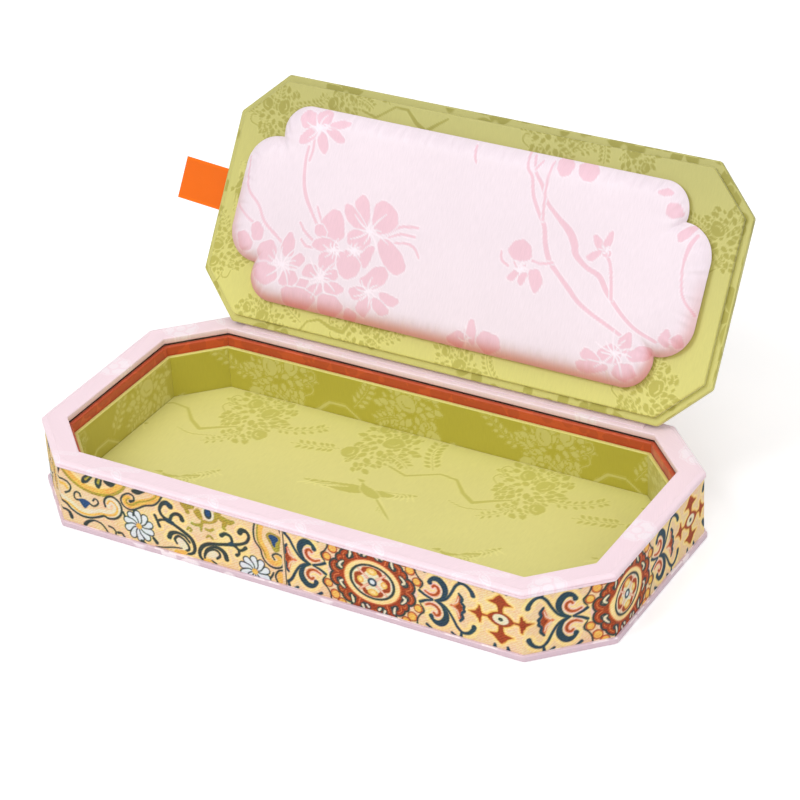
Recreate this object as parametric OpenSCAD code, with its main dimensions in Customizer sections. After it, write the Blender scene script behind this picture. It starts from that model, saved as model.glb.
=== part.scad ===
// Octagonal brocade keepsake box with a recessed, padded lid on a cloth hinge.
// The box is drawn open, as it stands on a table. Origin: middle of the footprint, on the table.

/* [Box] */
// Length of the bottom board, the longest size of the closed box
box_l = 230; // [200:1:260]
// Depth of the bottom board, front to back
box_w = 115; // [100:1:135]
// Height from the table to the top of the rim frame
rim_top = 27; // [24:0.5:34]
// Leg of each cut corner of the bottom board, along one side
corner_leg = 22.8; // [16:0.2:28]
// Radius of the cloth-wrapped vertical corners
corner_r = 1.6; // [0.6:0.1:2.4]
// Radius of the cloth-wrapped edges of the boards
edge_r = 0.6; // [0.2:0.1:0.9]

/* [Walls] */
// Thickness of the wrapped bottom board
base_t = 2.4; // [1.6:0.1:4]
// Step from the edge of the bottom board in to the face of the brocade
brocade_step = 1.0; // [0.5:0.1:2]
// Thickness of the brocade cloth with its paper backing
brocade_t = 0.5; // [0.3:0.1:1]
// Thickness of the grey boards of the outer wall
wall_t = 2.5; // [1.5:0.1:3.5]
// Place of the front seam of the two brocade strips, right of the middle
seam_x = 1; // [-60:1:60]
// Gap between the two brocade strips at a seam
seam_gap = 0.1; // [0.05:0.05:0.3]

/* [Rim frame] */
// Step from the edge of the bottom board in to the edge of the rim frame
rim_step = 0.5; // [0:0.1:1]
// Width of the rim frame, seen from above
rim_b = 9; // [7:0.5:12]
// Thickness of the rim frame
rim_t = 2.4; // [1.6:0.1:3.5]
// Width of the ledge that the liner leaves inside the rim frame
ledge_b = 1.2; // [0.9:0.1:2]
// Thickness of the wrapped liner boards
liner_t = 1.8; // [1.2:0.1:2.4]

/* [Tray] */
// Depth from the top of the liner down to the top of the tray walls
tray_drop = 4.3; // [3:0.1:8]
// Thickness of the tray walls
tray_t = 1.5; // [1:0.1:2]
// Gap between the tray and the liner around it
tray_gap = 0.1; // [0.05:0.05:0.4]
// Thickness of the card under the floor cloth
floor_card_t = 0.5; // [0.4:0.1:1.2]
// Thickness of the wadded floor cloth at its edge
floor_pad_t = 0.6; // [0.4:0.1:1.5]
// Gap between the floor cloth and the tray walls
floor_gap = 0.15; // [0.05:0.05:0.5]

/* [Lid] */
// Angle of the open lid, counted from closed
open_angle = 123.5; // [100:0.5:128]
// Gap between the closed lid and the rim frame around it
lid_gap = 0.7; // [0.6:0.1:0.8]
// Gap under the closed lid, over the ledge
seat_gap = 0.1; // [0.05:0.05:0.3]
// Thickness of the wrapped lid board
lid_t = 2.4; // [1.8:0.1:3.2]
// Step from the edge of the lid board in to the edge of the inner plate
plate_step = 2.7; // [2:0.1:5]
// Thickness of the inner plate
plate_t = 2; // [1.2:0.1:2.6]
// Rise of the padded top over the lid board
top_rise = 3; // [1.5:0.1:6]
// Step from the edge of the lid board in to the edge of the padded top
top_step = 0.8; // [0.4:0.1:2]
// How far in from its edge the padded top still climbs
top_run = 15; // [8:1:24]

/* [Lid cushion] */
// Length of the cushion over its round ends
cushion_l = 191; // [160:1:196]
// Height of the cushion on the lid, between its long sides
cushion_w = 75; // [60:1:80]
// Radius of the small lobe at each corner
lobe_r = 10.5; // [8:0.5:14]
// Distance from the cushion's end to the outermost point of a corner lobe
lobe_reach = 12.5; // [10.5:0.5:15]
// Distance between the middles of a corner lobe and an end lobe, across the lid
lobe_drop = 16; // [14:0.5:18]
// Radius of the lobe at each end of the short sides
end_r = 12.4; // [10:0.2:15]
// Thickness of the card that carries the cushion
cushion_card_t = 0.8; // [0.5:0.1:1.5]
// Step from the widest line of the cushion in to the edge of its card
cushion_card_step = 1.5; // [1:0.1:3]
// Rise of the cushion's crown over its card
cushion_rise = 4; // [2:0.1:6]
// How far in from its edge the cushion still climbs
cushion_run = 17; // [8:1:24]
// Height of the cushion's widest line over its card
cushion_seam = 1.2; // [0.8:0.1:2]

/* [Hinge and pull] */
// Thickness of the hinge cloth
cloth_t = 0.3; // [0.2:0.05:0.5]
// Length of the hinge cloth along the back of the lid
cloth_l = 166; // [60:1:170]
// Free width of the hinge cloth between the lid and the rim
cloth_slack = 2.6; // [2.3:0.1:3.2]
// Width of the leaf glued to the rim frame
rim_leaf_b = 5.4; // [3:0.1:6]
// Width of the leaf glued under the padded top
lid_leaf_b = 8; // [4:0.5:14]
// Gap between the open lid's lower edge and the hinge cloth
rest_gap = 0.1; // [0.05:0.05:0.3]
// Width of the ribbon
ribbon_b = 16; // [10:1:25]
// How far the ribbon loop stands out of the lid
ribbon_out = 19; // [12:1:30]
// Length of the ribbon's glued tail
ribbon_tail = 12; // [6:1:24]
// Thickness of the ribbon
ribbon_t = 0.35; // [0.2:0.05:0.6]
// Inner radius of the ribbon's fold
fold_r = 0.5; // [0.2:0.1:1.2]
// Gap around the cloth and the ribbon in their beds under the padded top
bed_gap = 0.05; // [0.05:0.05:0.2]

/* [Hidden] */

// Steps from the outline of the bottom board in to each layer
wall_step = brocade_step + brocade_t;
rim_inner_step = rim_step + rim_b;
liner_step = rim_inner_step + ledge_b;
tray_step = liner_step + tray_gap;
floor_step = tray_step + tray_t + floor_gap;
lid_step = rim_inner_step + lid_gap;
inner_plate_step = lid_step + plate_step;
padded_top_step = lid_step + top_step;

// Heights of the layers of the box
rim_z = rim_top - rim_t;
tray_top = rim_z - tray_drop;
pad_z = base_t + floor_card_t;

// Heights of the layers of the closed lid
lid_z = rim_z + seat_gap;
lid_top_z = lid_z + lid_t;
plate_z = lid_z - plate_t;
card_z = plate_z - cushion_card_t;
half_w = box_w / 2;

// The hinge axis is the one point about which the lid's upper back edge turns
// from the closed lid to its place on the rim, with the cloth's slack behind it
edge_y = half_w - lid_step;
glue_y = half_w - rim_inner_step + cloth_slack - lid_gap;
open_y = glue_y + cloth_slack;
open_z = rim_top + cloth_t + rest_gap + cloth_t * max(0, -cos(open_angle));
chord = [open_y - edge_y, open_z - lid_top_z];
hinge_rise = 1 / (2 * tan(open_angle / 2));
hinge_y = edge_y + chord[0] / 2 + chord[1] * hinge_rise;
hinge_z = lid_top_z + chord[1] / 2 - chord[0] * hinge_rise;

// Numbers of faces in each kind of curve
arc_steps = 4;
edge_steps = 3;
lobe_steps = 8;
side_steps = 4;
crown_steps = 6;
fold_steps = 32;

// Eight corners of the outline, stepped in from the edge of the bottom board.
// They run counterclockwise from the left end of the front side.
function octagon(step) =
    let (x = box_l / 2 - step, y = box_w / 2 - step,
         leg = corner_leg - step * (2 - sqrt(2)))
    [[-x + leg, -y], [x - leg, -y], [x, -y + leg], [x, y - leg],
     [x - leg, y], [-x + leg, y], [-x, y - leg], [-x, -y + leg]];

// The same outline with each corner rounded by an arc
function rounded_octagon(step, r) =
    let (corners = octagon(step))
    [for (i = [0:7], j = [0:arc_steps])
        let (turn = 45 * i - 135 + 45 * j / arc_steps,
             p = corners[i], away = 45 * i - 112.5,
             centre = p - r / cos(22.5) * [cos(away), sin(away)])
        centre + r * [cos(turn), sin(turn)]];

// Solid between closed rings of equally many points, listed from the bottom up
module ring_stack(rings) {
    n = len(rings[0]);
    last = len(rings) - 1;
    points = [for (ring = rings) for (p = ring) p];
    bottom = [for (i = [0:n - 1]) i];
    top = [for (i = [0:n - 1]) last * n + n - 1 - i];
    sides = [for (k = [0:last - 1], i = [0:n - 1])
        let (a = k * n + i, b = k * n + (i + 1) % n)
        for (t = [[a, a + n, b], [b, a + n, b + n]]) t];
    polyhedron(points = points, faces = concat([bottom], sides, [top]));
}

// Closed loop of rings, for a frame with an opening in it
module ring_loop(rings) {
    n = len(rings[0]);
    count = len(rings);
    points = [for (ring = rings) for (p = ring) p];
    sides = [for (k = [0:count - 1], i = [0:n - 1])
        let (next = (k + 1) % count,
             a = k * n + i, b = k * n + (i + 1) % n,
             c = next * n + i, d = next * n + (i + 1) % n)
        for (t = [[a, c, b], [b, c, d]]) t];
    polyhedron(points = points, faces = sides);
}

function lift(outline, z) = [for (p = outline) [p[0], p[1], z]];

// Board wrapped in cloth: an octagon with rounded edges
module wrapped_board(step, z, t) {
    ring_stack(concat(
        [for (j = [0:edge_steps])
            let (a = 90 * j / edge_steps)
            lift(rounded_octagon(step + edge_r * (1 - sin(a)), corner_r), z + edge_r * (1 - cos(a)))],
        [for (j = [0:edge_steps])
            let (a = 90 * j / edge_steps)
            lift(rounded_octagon(step + edge_r * (1 - cos(a)), corner_r), z + t - edge_r * (1 - sin(a)))]
    ));
}

// Frame wrapped in cloth: outer edge, rounded top edges, inner edge
module wrapped_frame(step_out, step_in, z, t) {
    outer = [for (j = [0:edge_steps])
        let (a = 90 * j / edge_steps)
        lift(rounded_octagon(step_out + edge_r * (1 - cos(a)), corner_r), z + t - edge_r * (1 - sin(a)))];
    inner = [for (j = [edge_steps:-1:0])
        let (a = 90 * j / edge_steps)
        lift(rounded_octagon(step_in - edge_r * (1 - cos(a)), corner_r), z + t - edge_r * (1 - sin(a)))];
    ring_loop(concat(
        [lift(rounded_octagon(step_out, corner_r), z)], outer, inner,
        [lift(rounded_octagon(step_in, corner_r), z)]
    ));
}

// One straight board of an eight-sided wall, mitred at both ends
module wall_panel(side, step, t, z, h) {
    outer = octagon(step);
    inner = octagon(step + t);
    next = (side + 1) % 8;
    translate([0, 0, z])
        linear_extrude(h)
            polygon([outer[side], outer[next], inner[next], inner[side]]);
}

// Bottom of the box
module base_board() {
    color("#ecccd8")
        wrapped_board(0, 0, base_t);
}

module wall_board(side) {
    color("#b9a98c")
        wall_panel(side, wall_step, wall_t, base_t, rim_z - base_t);
}

module liner_board(side) {
    color("#b8421c")
        wall_panel(side, liner_step - liner_t, liner_t, base_t, rim_z - base_t);
}

module tray_board(side) {
    color("#a89d30")
        wall_panel(side, tray_step, tray_t, base_t, tray_top - base_t);
}

// Brocade round the outer wall, in two strips that meet at the seams
module brocade_ring() {
    translate([0, 0, base_t])
        linear_extrude(rim_z - base_t)
            difference() {
                polygon(rounded_octagon(brocade_step, corner_r));
                polygon(octagon(wall_step));
            }
}

module brocade_strip(way) {
    seam = seam_x + way * seam_gap / 2;
    color("#d9b878")
        intersection() {
            brocade_ring();
            translate([way > 0 ? seam : seam - box_l, -box_w, 0])
                cube([box_l, 2 * box_w, rim_top]);
        }
}

module brocade_strip_left() {
    brocade_strip(-1);
}

module brocade_strip_right() {
    brocade_strip(1);
}

module rim_frame() {
    color("#f3d9e3")
        wrapped_frame(rim_step, rim_inner_step, rim_z, rim_t);
}

module floor_card() {
    color("#b9a98c")
        translate([0, 0, base_t])
            linear_extrude(floor_card_t)
                polygon(octagon(floor_step));
}

module floor_pad() {
    color("#d2cc78")
        translate([0, 0, pad_z])
            linear_extrude(floor_pad_t)
                polygon(octagon(floor_step));
}

// Leaf of the hinge cloth on the back strip of the rim frame
module hinge_rim_leaf() {
    color("#f3d9e3")
        translate([-cloth_l / 2, glue_y, rim_top])
            cube([cloth_l, rim_leaf_b, cloth_t]);
}

// Place of the lid's pieces, which are drawn closed, on the open lid
module on_open_lid() {
    translate([0, hinge_y, hinge_z])
        rotate([-open_angle, 0, 0])
            translate([0, -hinge_y, -hinge_z])
                children();
}

module lid_board() {
    color("#bdb766")
        on_open_lid()
            wrapped_board(lid_step, lid_z, lid_t);
}

module lid_inner_plate() {
    color("#c8c26e")
        on_open_lid()
            wrapped_board(inner_plate_step, plate_z, plate_t);
}

// Outline of a quarter of the cushion, from the middle of the right side up to
// the middle of the long side: an end lobe, a cusp and a corner lobe
half_l = cushion_l / 2;
half_h = cushion_w / 2;
corner_c = [half_l - lobe_reach - lobe_r, half_h - lobe_r];
end_c = [half_l - end_r, corner_c[1] - lobe_drop];
cusp_gap = norm(corner_c - end_c);
cusp_way = atan2(corner_c[1] - end_c[1], corner_c[0] - end_c[0]);
end_open = acos((cusp_gap * cusp_gap + end_r * end_r - lobe_r * lobe_r) / (2 * cusp_gap * end_r));
lobe_open = acos((cusp_gap * cusp_gap + lobe_r * lobe_r - end_r * end_r) / (2 * cusp_gap * lobe_r));

function cushion_quarter() = concat(
    [for (j = [0:lobe_steps])
        let (a = (cusp_way - end_open) * j / lobe_steps)
        end_c + end_r * [cos(a), sin(a)]],
    [for (j = [1:lobe_steps])
        let (a0 = cusp_way - 180 + lobe_open, a = a0 + (90 - a0) * j / lobe_steps)
        corner_c + lobe_r * [cos(a), sin(a)]],
    [for (j = [1:side_steps - 1])
        [corner_c[0] * (1 - j / side_steps), half_h]]
);

function reversed(list) = [for (i = [len(list) - 1:-1:0]) list[i]];

function cushion_outline() =
    let (q = cushion_quarter())
    concat(q,
        [for (p = reversed(q)) [-p[0], p[1]]],
        [for (p = q) [-p[0], -p[1]]],
        [for (p = reversed(q)) [p[0], -p[1]]]);

// The outline drawn in towards the cushion's spine
function drawn_in(outline, step) =
    [for (p = outline)
        let (reach = half_l - half_h,
             spine = [max(-reach, min(reach, p[0])), 0],
             d = norm(p - spine))
        spine + (p - spine) * (d - step) / d];

module cushion_card() {
    color("#e9dcc4")
        on_open_lid()
            translate([0, 0, card_z])
                linear_extrude(cushion_card_t)
                    polygon(drawn_in(cushion_outline(), cushion_card_step));
}

// Cushion with its widest line a little below the crown and its sides drawn in
module lid_cushion() {
    outline = cushion_outline();
    color("#f6e3eb")
        on_open_lid()
            mirror([0, 0, 1])
                translate([0, 0, -card_z])
                    ring_stack(concat(
                        [for (j = [0:2])
                            let (a = 45 * j)
                            lift(drawn_in(outline, cushion_card_step * (1 - sin(a))), cushion_seam * (1 - cos(a)))],
                        [for (j = [1:crown_steps])
                            let (f = j / crown_steps)
                            lift(drawn_in(outline, cushion_run * f * f),
                                 cushion_seam + (cushion_rise - cushion_seam) * sin(90 * sqrt(f)))]
                    ));
}

// Padded brocade panel on the outside of the lid, with beds for the hinge leaf
// and the ribbon's tail
module lid_padded_top() {
    color("#d9b878")
        on_open_lid()
            difference() {
                ring_stack([for (j = [0:crown_steps])
                    let (f = j / crown_steps)
                    lift(rounded_octagon(padded_top_step + top_run * f * f, corner_r),
                         lid_top_z + top_rise * sin(90 * f))]);
                translate([-cloth_l / 2 - bed_gap, edge_y - lid_leaf_b - bed_gap, lid_z])
                    cube([cloth_l + 2 * bed_gap, lid_leaf_b + lid_gap + bed_gap, lid_t + cloth_t + bed_gap]);
                translate([-box_l / 2, -ribbon_b / 2 - bed_gap, lid_z])
                    cube([lid_step + ribbon_tail + bed_gap, ribbon_b + 2 * bed_gap, lid_t + 2 * ribbon_t + bed_gap]);
            }
}

// Leaf of the hinge cloth under the padded top
module hinge_lid_leaf() {
    color("#f3d9e3")
        on_open_lid()
            translate([-cloth_l / 2, edge_y - lid_leaf_b, lid_top_z])
                cube([cloth_l, lid_leaf_b, cloth_t]);
}

// Ribbon folded to a loop, with both ends glued under the padded top
module ribbon_pull() {
    root = box_l / 2 - lid_step;
    loop_x = -root - ribbon_out + fold_r + ribbon_t;
    loop_z = lid_top_z + ribbon_t + fold_r;
    neck = 2 * (fold_r + ribbon_t);
    color("#f5812c")
        on_open_lid()
            translate([0, ribbon_b / 2, 0])
                rotate([90, 0, 0])
                    linear_extrude(ribbon_b)
                        union() {
                            translate([-root - neck, lid_top_z])
                                square([ribbon_tail + neck, 2 * ribbon_t]);
                            difference() {
                                union() {
                                    translate([loop_x, loop_z])
                                        circle(r = fold_r + ribbon_t, $fn = fold_steps);
                                    polygon([
                                        [loop_x, lid_top_z], [-root - neck, lid_top_z],
                                        [-root - neck, lid_top_z + 2 * ribbon_t],
                                        [loop_x, lid_top_z + neck]
                                    ]);
                                }
                                translate([loop_x, loop_z])
                                    circle(r = fold_r, $fn = fold_steps);
                                polygon([
                                    [loop_x, lid_top_z + ribbon_t], [-root - neck, lid_top_z + ribbon_t],
                                    [loop_x, lid_top_z + ribbon_t + 2 * fold_r]
                                ]);
                            }
                        }
}

base_board();
wall_board(0);  // wall_front
wall_board(1);  // wall_front_right
wall_board(2);  // wall_right
wall_board(3);  // wall_back_right
wall_board(4);  // wall_back
wall_board(5);  // wall_back_left
wall_board(6);  // wall_left
wall_board(7);  // wall_front_left
brocade_strip_left();
brocade_strip_right();
rim_frame();
liner_board(0);  // liner_front
liner_board(1);  // liner_front_right
liner_board(2);  // liner_right
liner_board(3);  // liner_back_right
liner_board(4);  // liner_back
liner_board(5);  // liner_back_left
liner_board(6);  // liner_left
liner_board(7);  // liner_front_left
tray_board(0);  // tray_front
tray_board(1);  // tray_front_right
tray_board(2);  // tray_right
tray_board(3);  // tray_back_right
tray_board(4);  // tray_back
tray_board(5);  // tray_back_left
tray_board(6);  // tray_left
tray_board(7);  // tray_front_left
floor_card();
floor_pad();
hinge_rim_leaf();
lid_board();
lid_inner_plate();
cushion_card();
lid_cushion();
lid_padded_top();
ribbon_pull();
hinge_lid_leaf();
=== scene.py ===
import math

import bpy
import numpy as np
from bpy.props import FloatProperty, FloatVectorProperty, PointerProperty
from bpy.types import Operator, Panel, PropertyGroup
from mathutils import Matrix, Vector


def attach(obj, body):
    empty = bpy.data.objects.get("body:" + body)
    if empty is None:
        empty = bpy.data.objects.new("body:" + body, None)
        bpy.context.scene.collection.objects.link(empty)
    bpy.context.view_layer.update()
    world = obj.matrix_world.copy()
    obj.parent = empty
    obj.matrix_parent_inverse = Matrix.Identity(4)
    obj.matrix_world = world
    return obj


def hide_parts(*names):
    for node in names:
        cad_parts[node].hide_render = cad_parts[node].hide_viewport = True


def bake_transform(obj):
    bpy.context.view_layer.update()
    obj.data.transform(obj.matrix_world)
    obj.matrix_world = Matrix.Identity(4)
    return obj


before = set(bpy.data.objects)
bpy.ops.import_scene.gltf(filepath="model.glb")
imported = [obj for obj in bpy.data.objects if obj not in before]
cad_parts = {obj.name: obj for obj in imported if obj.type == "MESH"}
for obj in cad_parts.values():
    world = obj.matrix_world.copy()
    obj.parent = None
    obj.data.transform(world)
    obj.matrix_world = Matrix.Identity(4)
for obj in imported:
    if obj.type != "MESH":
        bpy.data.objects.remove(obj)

bl_info = {
    "name": "Brocade Keepsake Box",
    "version": (1, 0, 0),
    "blender": (4, 5, 0),
    "location": "3D View > Sidebar > Box",
    "description": "Cloth, padding and light for an octagonal keepsake box",
    "category": "Object",
}

# Sizes of the box's frame, in millimetres; a STEP is how far an outline lies inside the bottom board's edge
HALF_L, HALF_W = 115.0, 57.5
CORNER_LEG, CORNER_R = 22.8, 1.6
BASE_T, RIM_TOP, RIM_Z = 2.4, 27.0, 24.6
BROCADE_STEP, BROCADE_T, SEAM_X = 1.0, 0.5, 1.0
RIM_STEP, RIM_INNER_STEP = 0.5, 9.5
LINER_STEP, LINER_T, LINER_DROP = 10.7, 1.8, 0.7
TRAY_STEP, TRAY_T, TRAY_TOP = 10.8, 1.5, 20.3
FLOOR_STEP, PAD_Z, PAD_TOP = 12.45, 2.9, 3.5
LID_STEP, LID_Z, LID_TOP_Z = 10.2, 24.7, 27.1
PLATE_STEP, PLATE_Z, PLATE_COVER = 12.9, 22.7, 24
CARD_Z = 21.9
TOP_STEP, TOP_RUN = 11.0, 15.0
HINGE = (0.0, 50.0251, 25.9358)
OPEN_ANGLE = 123.5
SKIN = 0.02  # how far a cloth's edge stays clear of the next piece

# Outline of the lid cushion, in millimetres
CUSHION_HALF = (94.9, 37.0)
LOBE_C, LOBE_R = (72.2, 26.7), 10.3
END_C, END_R = (82.4, 11.4), 12.5

# Ribbon and hinge cloth, in millimetres; OUT is how far the ribbon shows past the lid board
RIBBON_OUT, RIBBON_HALF, RIBBON_T = 20.6, 8.0, 0.16
FOLD_R, RIBBON_LIFT = 0.55, 0.07  # the lift is its rise over its run
LEAF_HALF, LEAF_T = 83.0, 0.12


def srgb(code):
    """Scene colour of a six-digit hex code."""
    parts = [int(code[i:i + 2], 16) / 255 for i in (0, 2, 4)]
    return tuple(c / 12.92 if c <= 0.04045 else ((c + 0.055) / 1.055) ** 2.4 for c in parts)


def colour(name, code, description):
    return FloatVectorProperty(
        name=name, default=srgb(code), description=description, subtype="COLOR", size=3, min=0, max=1)


def length(name, default, description):
    return FloatProperty(
        name=name, default=default, description=description, subtype="DISTANCE", unit="LENGTH", min=0)


# Outlines and the lid's place


def octagon(step):
    """Eight corners stepped in from the bottom board's edge, counterclockwise from the front side's left end."""
    x, y = HALF_L - step, HALF_W - step
    leg = CORNER_LEG - step * (2 - math.sqrt(2))
    return np.array([(-x + leg, -y), (x - leg, -y), (x, -y + leg), (x, y - leg),
                     (x - leg, y), (-x + leg, y), (-x, y - leg), (-x, -y + leg)])


def outline(step, pitch, radius=CORNER_R, arc=6):
    """Rounded octagon, with the same number of points whatever its step, so that rings line up; also each point's
    way out and its distance along the cloth."""
    corners, wide = octagon(step), octagon(0)
    reach = radius / math.cos(math.radians(22.5))
    places, ways = [], []
    for i in range(8):
        away = np.radians([45 * i - 112.5, 45 * i - 67.5])
        centres = corners[[i, (i + 1) % 8]] - reach * np.c_[np.cos(away), np.sin(away)]
        turns = np.radians(45 * i - 135 + 45 * np.linspace(0, 1, arc + 1))
        out = np.c_[np.cos(turns), np.sin(turns)]
        places += list(centres[0] + radius * out)
        ways += list(out)
        count = max(2, round(math.dist(wide[i], wide[(i + 1) % 8]) / pitch))
        for k in range(1, count):
            places.append(centres[0] + (centres[1] - centres[0]) * k / count + radius * out[-1])
            ways.append(out[-1])
    places, ways = np.array(places), np.array(ways)
    lengths = np.hypot(*(np.roll(places, -1, 0) - places).T)
    return places, ways, np.r_[0, np.cumsum(lengths)]


def rounded(step, z, wide, high, turns):
    """Quarter round of a cloth over a board's edge, as (step, z) places; a negative size turns it the other way."""
    return [(step + wide * (1 - math.cos(a)), z - high * (1 - math.sin(a))) for a in turns]


def opened(points):
    """Points of the closed lid, in millimetres, turned to the open lid's place."""
    turn = math.radians(-OPEN_ANGLE)
    p = np.array(points, float)
    y, z = p[..., 1] - HINGE[1], p[..., 2] - HINGE[2]
    p[..., 1] = HINGE[1] + y * math.cos(turn) - z * math.sin(turn)
    p[..., 2] = HINGE[2] + y * math.sin(turn) + z * math.cos(turn)
    return p


# Meshes


def sheet_mesh(name, grid, cloth=None, around=False, caps=(), smooth=60.0, mirror=0):
    """Quads over a grid of points, rows by columns, in millimetres. cloth gives each point's place on the flat cloth,
    with one more column where the grid closes around. caps closes the first or last row, or both, with one face;
    "seam" closes a last row whose two long sides nearly touch, point k facing point mirror - k."""
    grid = np.asarray(grid, float)
    rows, cols = grid.shape[:2]
    wide = cols if around else cols - 1
    i, j = np.meshgrid(np.arange(rows - 1), np.arange(wide), indexing="ij")
    i, j = i.ravel(), j.ravel()
    k = (j + 1) % cols
    faces = np.c_[i * cols + j, i * cols + k, (i + 1) * cols + k, (i + 1) * cols + j].tolist()
    if "first" in caps:
        faces.append(list(range(cols))[::-1])
    if "last" in caps:
        faces.append([(rows - 1) * cols + c for c in range(cols)])
    if "seam" in caps:
        quads = [(k, (k + 1) % cols, (mirror - k - 1) % cols, (mirror - k) % cols) for k in range(cols)]
        seam = {frozenset(quad): quad for quad in quads}
        faces += [[(rows - 1) * cols + c for c in dict.fromkeys(quad)] for quad in seam.values() if len(set(quad)) > 2]
    mesh = bpy.data.meshes.new(name)
    mesh.from_pydata((grid.reshape(-1, 3) / 1000).tolist(), [], faces)
    if cloth is not None:
        cloth = np.asarray(cloth, float) / 1000
        uv = np.zeros((len(mesh.loops), 2), np.float32)
        quads = np.stack([cloth[i, j], cloth[i, j + 1], cloth[i + 1, j + 1], cloth[i + 1, j]], 1).reshape(-1, 2)
        uv[:len(quads)] = quads
        flat = cloth[:, :cols].reshape(-1, 2)
        rest = np.array([loop.vertex_index for loop in mesh.loops[len(quads):]], int)
        if len(rest):
            uv[len(quads):] = flat[rest]
        mesh.uv_layers.new(name="cloth").data.foreach_set("uv", uv.ravel())
    mesh.shade_smooth()
    mesh.set_sharp_from_angle(angle=math.radians(smooth))
    piece = bpy.data.objects.new(name, mesh)
    bpy.context.scene.collection.objects.link(piece)
    return piece


def thread_colours(piece, rgb):
    """Stores woven colours at the mesh's points."""
    layer = piece.data.color_attributes.new(name="thread", type="BYTE_COLOR", domain="POINT")
    layer.data.foreach_set("color", np.c_[rgb, np.ones(len(rgb))].astype(np.float32).ravel())


def point_values(piece, name, values):
    """Stores a number at each of the mesh's points. "figure" is where the satin's woven figure lies, "turned" how
    much painted shade darkens the cloth where it turns down under the cushion, both up to 1."""
    layer = piece.data.attributes.new(name=name, type="FLOAT", domain="POINT")
    layer.data.foreach_set("value", np.asarray(values, np.float32).ravel())


def finish_piece(piece, look, body, slot, *nodes):
    """Gives a piece its material, and tells the frame what it replaces and what it rides on; slot is not used."""
    piece.data.materials.append(bpy.data.materials[look])
    if nodes:
        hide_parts(*nodes)
    if body:
        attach(piece, body)


# Shader nodes

SATIN_FINENESS = 2200.0  # noise scale of the satins' floats
PAINTED_SHADE_TINT = (0.84, 0.42, 0.34, 1)  # painted shade: what the cushion's satin is multiplied by along its lower edge, where it turns under
RIB_PITCH = 0.00045  # of the ribbon, in metres


def add(tree, kind, inputs=None, **settings):
    made = tree.nodes.new(kind)
    for key, value in settings.items():
        setattr(made, key, value)
    for key, value in (inputs or {}).items():
        if isinstance(value, bpy.types.NodeSocket):
            tree.links.new(value, made.inputs[key])
        else:
            made.inputs[key].default_value = value
    return made


def calc(tree, operation, *values):
    return add(tree, "ShaderNodeMath", dict(enumerate(values)), operation=operation).outputs[0]


def times(tree, a, b):
    return calc(tree, "MULTIPLY", a, b)


def vector(tree, operation, *values):
    return add(tree, "ShaderNodeVectorMath", dict(enumerate(values)), operation=operation).outputs


def scaled(tree, value, factor):
    return add(tree, "ShaderNodeVectorMath", {0: value, "Scale": factor}, operation="SCALE").outputs[0]


def split(tree, value):
    return add(tree, "ShaderNodeSeparateXYZ", {0: value}).outputs


def noise(tree, place, scale, detail):
    return add(tree, "ShaderNodeTexNoise", {"Vector": place, "Scale": scale, "Detail": detail}).outputs


def grey(tree, tone):
    return add(tree, "ShaderNodeCombineColor", {0: tone, 1: tone, 2: tone}).outputs[0]


def blend_colours(tree, factor, a, b, blend_type="MIX"):
    return add(tree, "ShaderNodeMix", {0: factor, 6: a, 7: b}, data_type="RGBA", blend_type=blend_type).outputs[2]


def spread(tree, value, low, high, to_low=0.0, to_high=1.0):
    """value from low..high to to_low..to_high."""
    return add(tree, "ShaderNodeMapRange", {0: value, 1: low, 2: high, 3: to_low, 4: to_high}).outputs[0]


def node_group(name, inputs, outputs):
    tree = bpy.data.node_groups.new(name, "ShaderNodeTree")
    for label, kind, default in inputs:
        socket = tree.interface.new_socket(name=label, in_out="INPUT", socket_type=kind)
        if default is not None:
            socket.default_value = default
    for label, kind in outputs:
        tree.interface.new_socket(name=label, in_out="OUTPUT", socket_type=kind)
    return tree, tree.nodes.new("NodeGroupInput").outputs, tree.nodes.new("NodeGroupOutput").inputs


def group_in(tree, group, inputs):
    return add(tree, "ShaderNodeGroup", inputs, node_tree=bpy.data.node_groups[group]).outputs


def build_satin_weave():
    """Long silk floats: fine streaks along the cloth's second direction, and broad uneven sheen."""
    tree, given, out = node_group(
        "Satin weave",
        [("Cloth", "NodeSocketVector", None), ("Threads", "NodeSocketFloat", SATIN_FINENESS)],
        [("Height", "NodeSocketFloat"), ("Sheen", "NodeSocketFloat")])
    drawn_out = vector(tree, "MULTIPLY", given["Cloth"], (1.0, 0.12, 1.0))[0]
    tree.links.new(noise(tree, drawn_out, given["Threads"], 2.0)[0], out["Height"])
    tree.links.new(noise(tree, given["Cloth"], 22.0, 3.0)[0], out["Sheen"])


def build_brocade_weave():
    """Diagonal twill of a figured brocade, with single thicker threads and flecks of other colours between them."""
    tree, given, out = node_group(
        "Brocade weave",
        [("Cloth", "NodeSocketVector", None), ("Pitch", "NodeSocketFloat", 0.001)],
        [("Height", "NodeSocketFloat"), ("Flecks", "NodeSocketColor")])
    cloth = given["Cloth"]
    parts = split(tree, cloth)
    diagonal = calc(tree, "SUBTRACT", parts[1], times(tree, parts[0], 0.62))
    wobble = noise(tree, cloth, 700.0, 1.0)[0]
    turns = calc(tree, "ADD", calc(tree, "DIVIDE", diagonal, given["Pitch"]), times(tree, wobble, 1.6))
    twill = calc(tree, "MULTIPLY_ADD", calc(tree, "SINE", times(tree, turns, math.tau)), 0.5, 0.5)
    grain = noise(tree, cloth, 1300.0, 2.0)
    patches = noise(tree, cloth, 170.0, 2.0)
    tree.links.new(calc(tree, "ADD", times(tree, twill, 0.6), times(tree, grain[0], 0.5)), out["Height"])
    lit = spread(tree, calc(tree, "ADD", twill, times(tree, grain[0], 2.0)), 0.9, 2.1, 0.3, 0.68)
    mixed = blend_colours(tree, 0.5, grain["Color"], patches["Color"])
    tree.links.new(blend_colours(tree, 0.5, grey(tree, lit), mixed), out["Flecks"])


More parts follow.
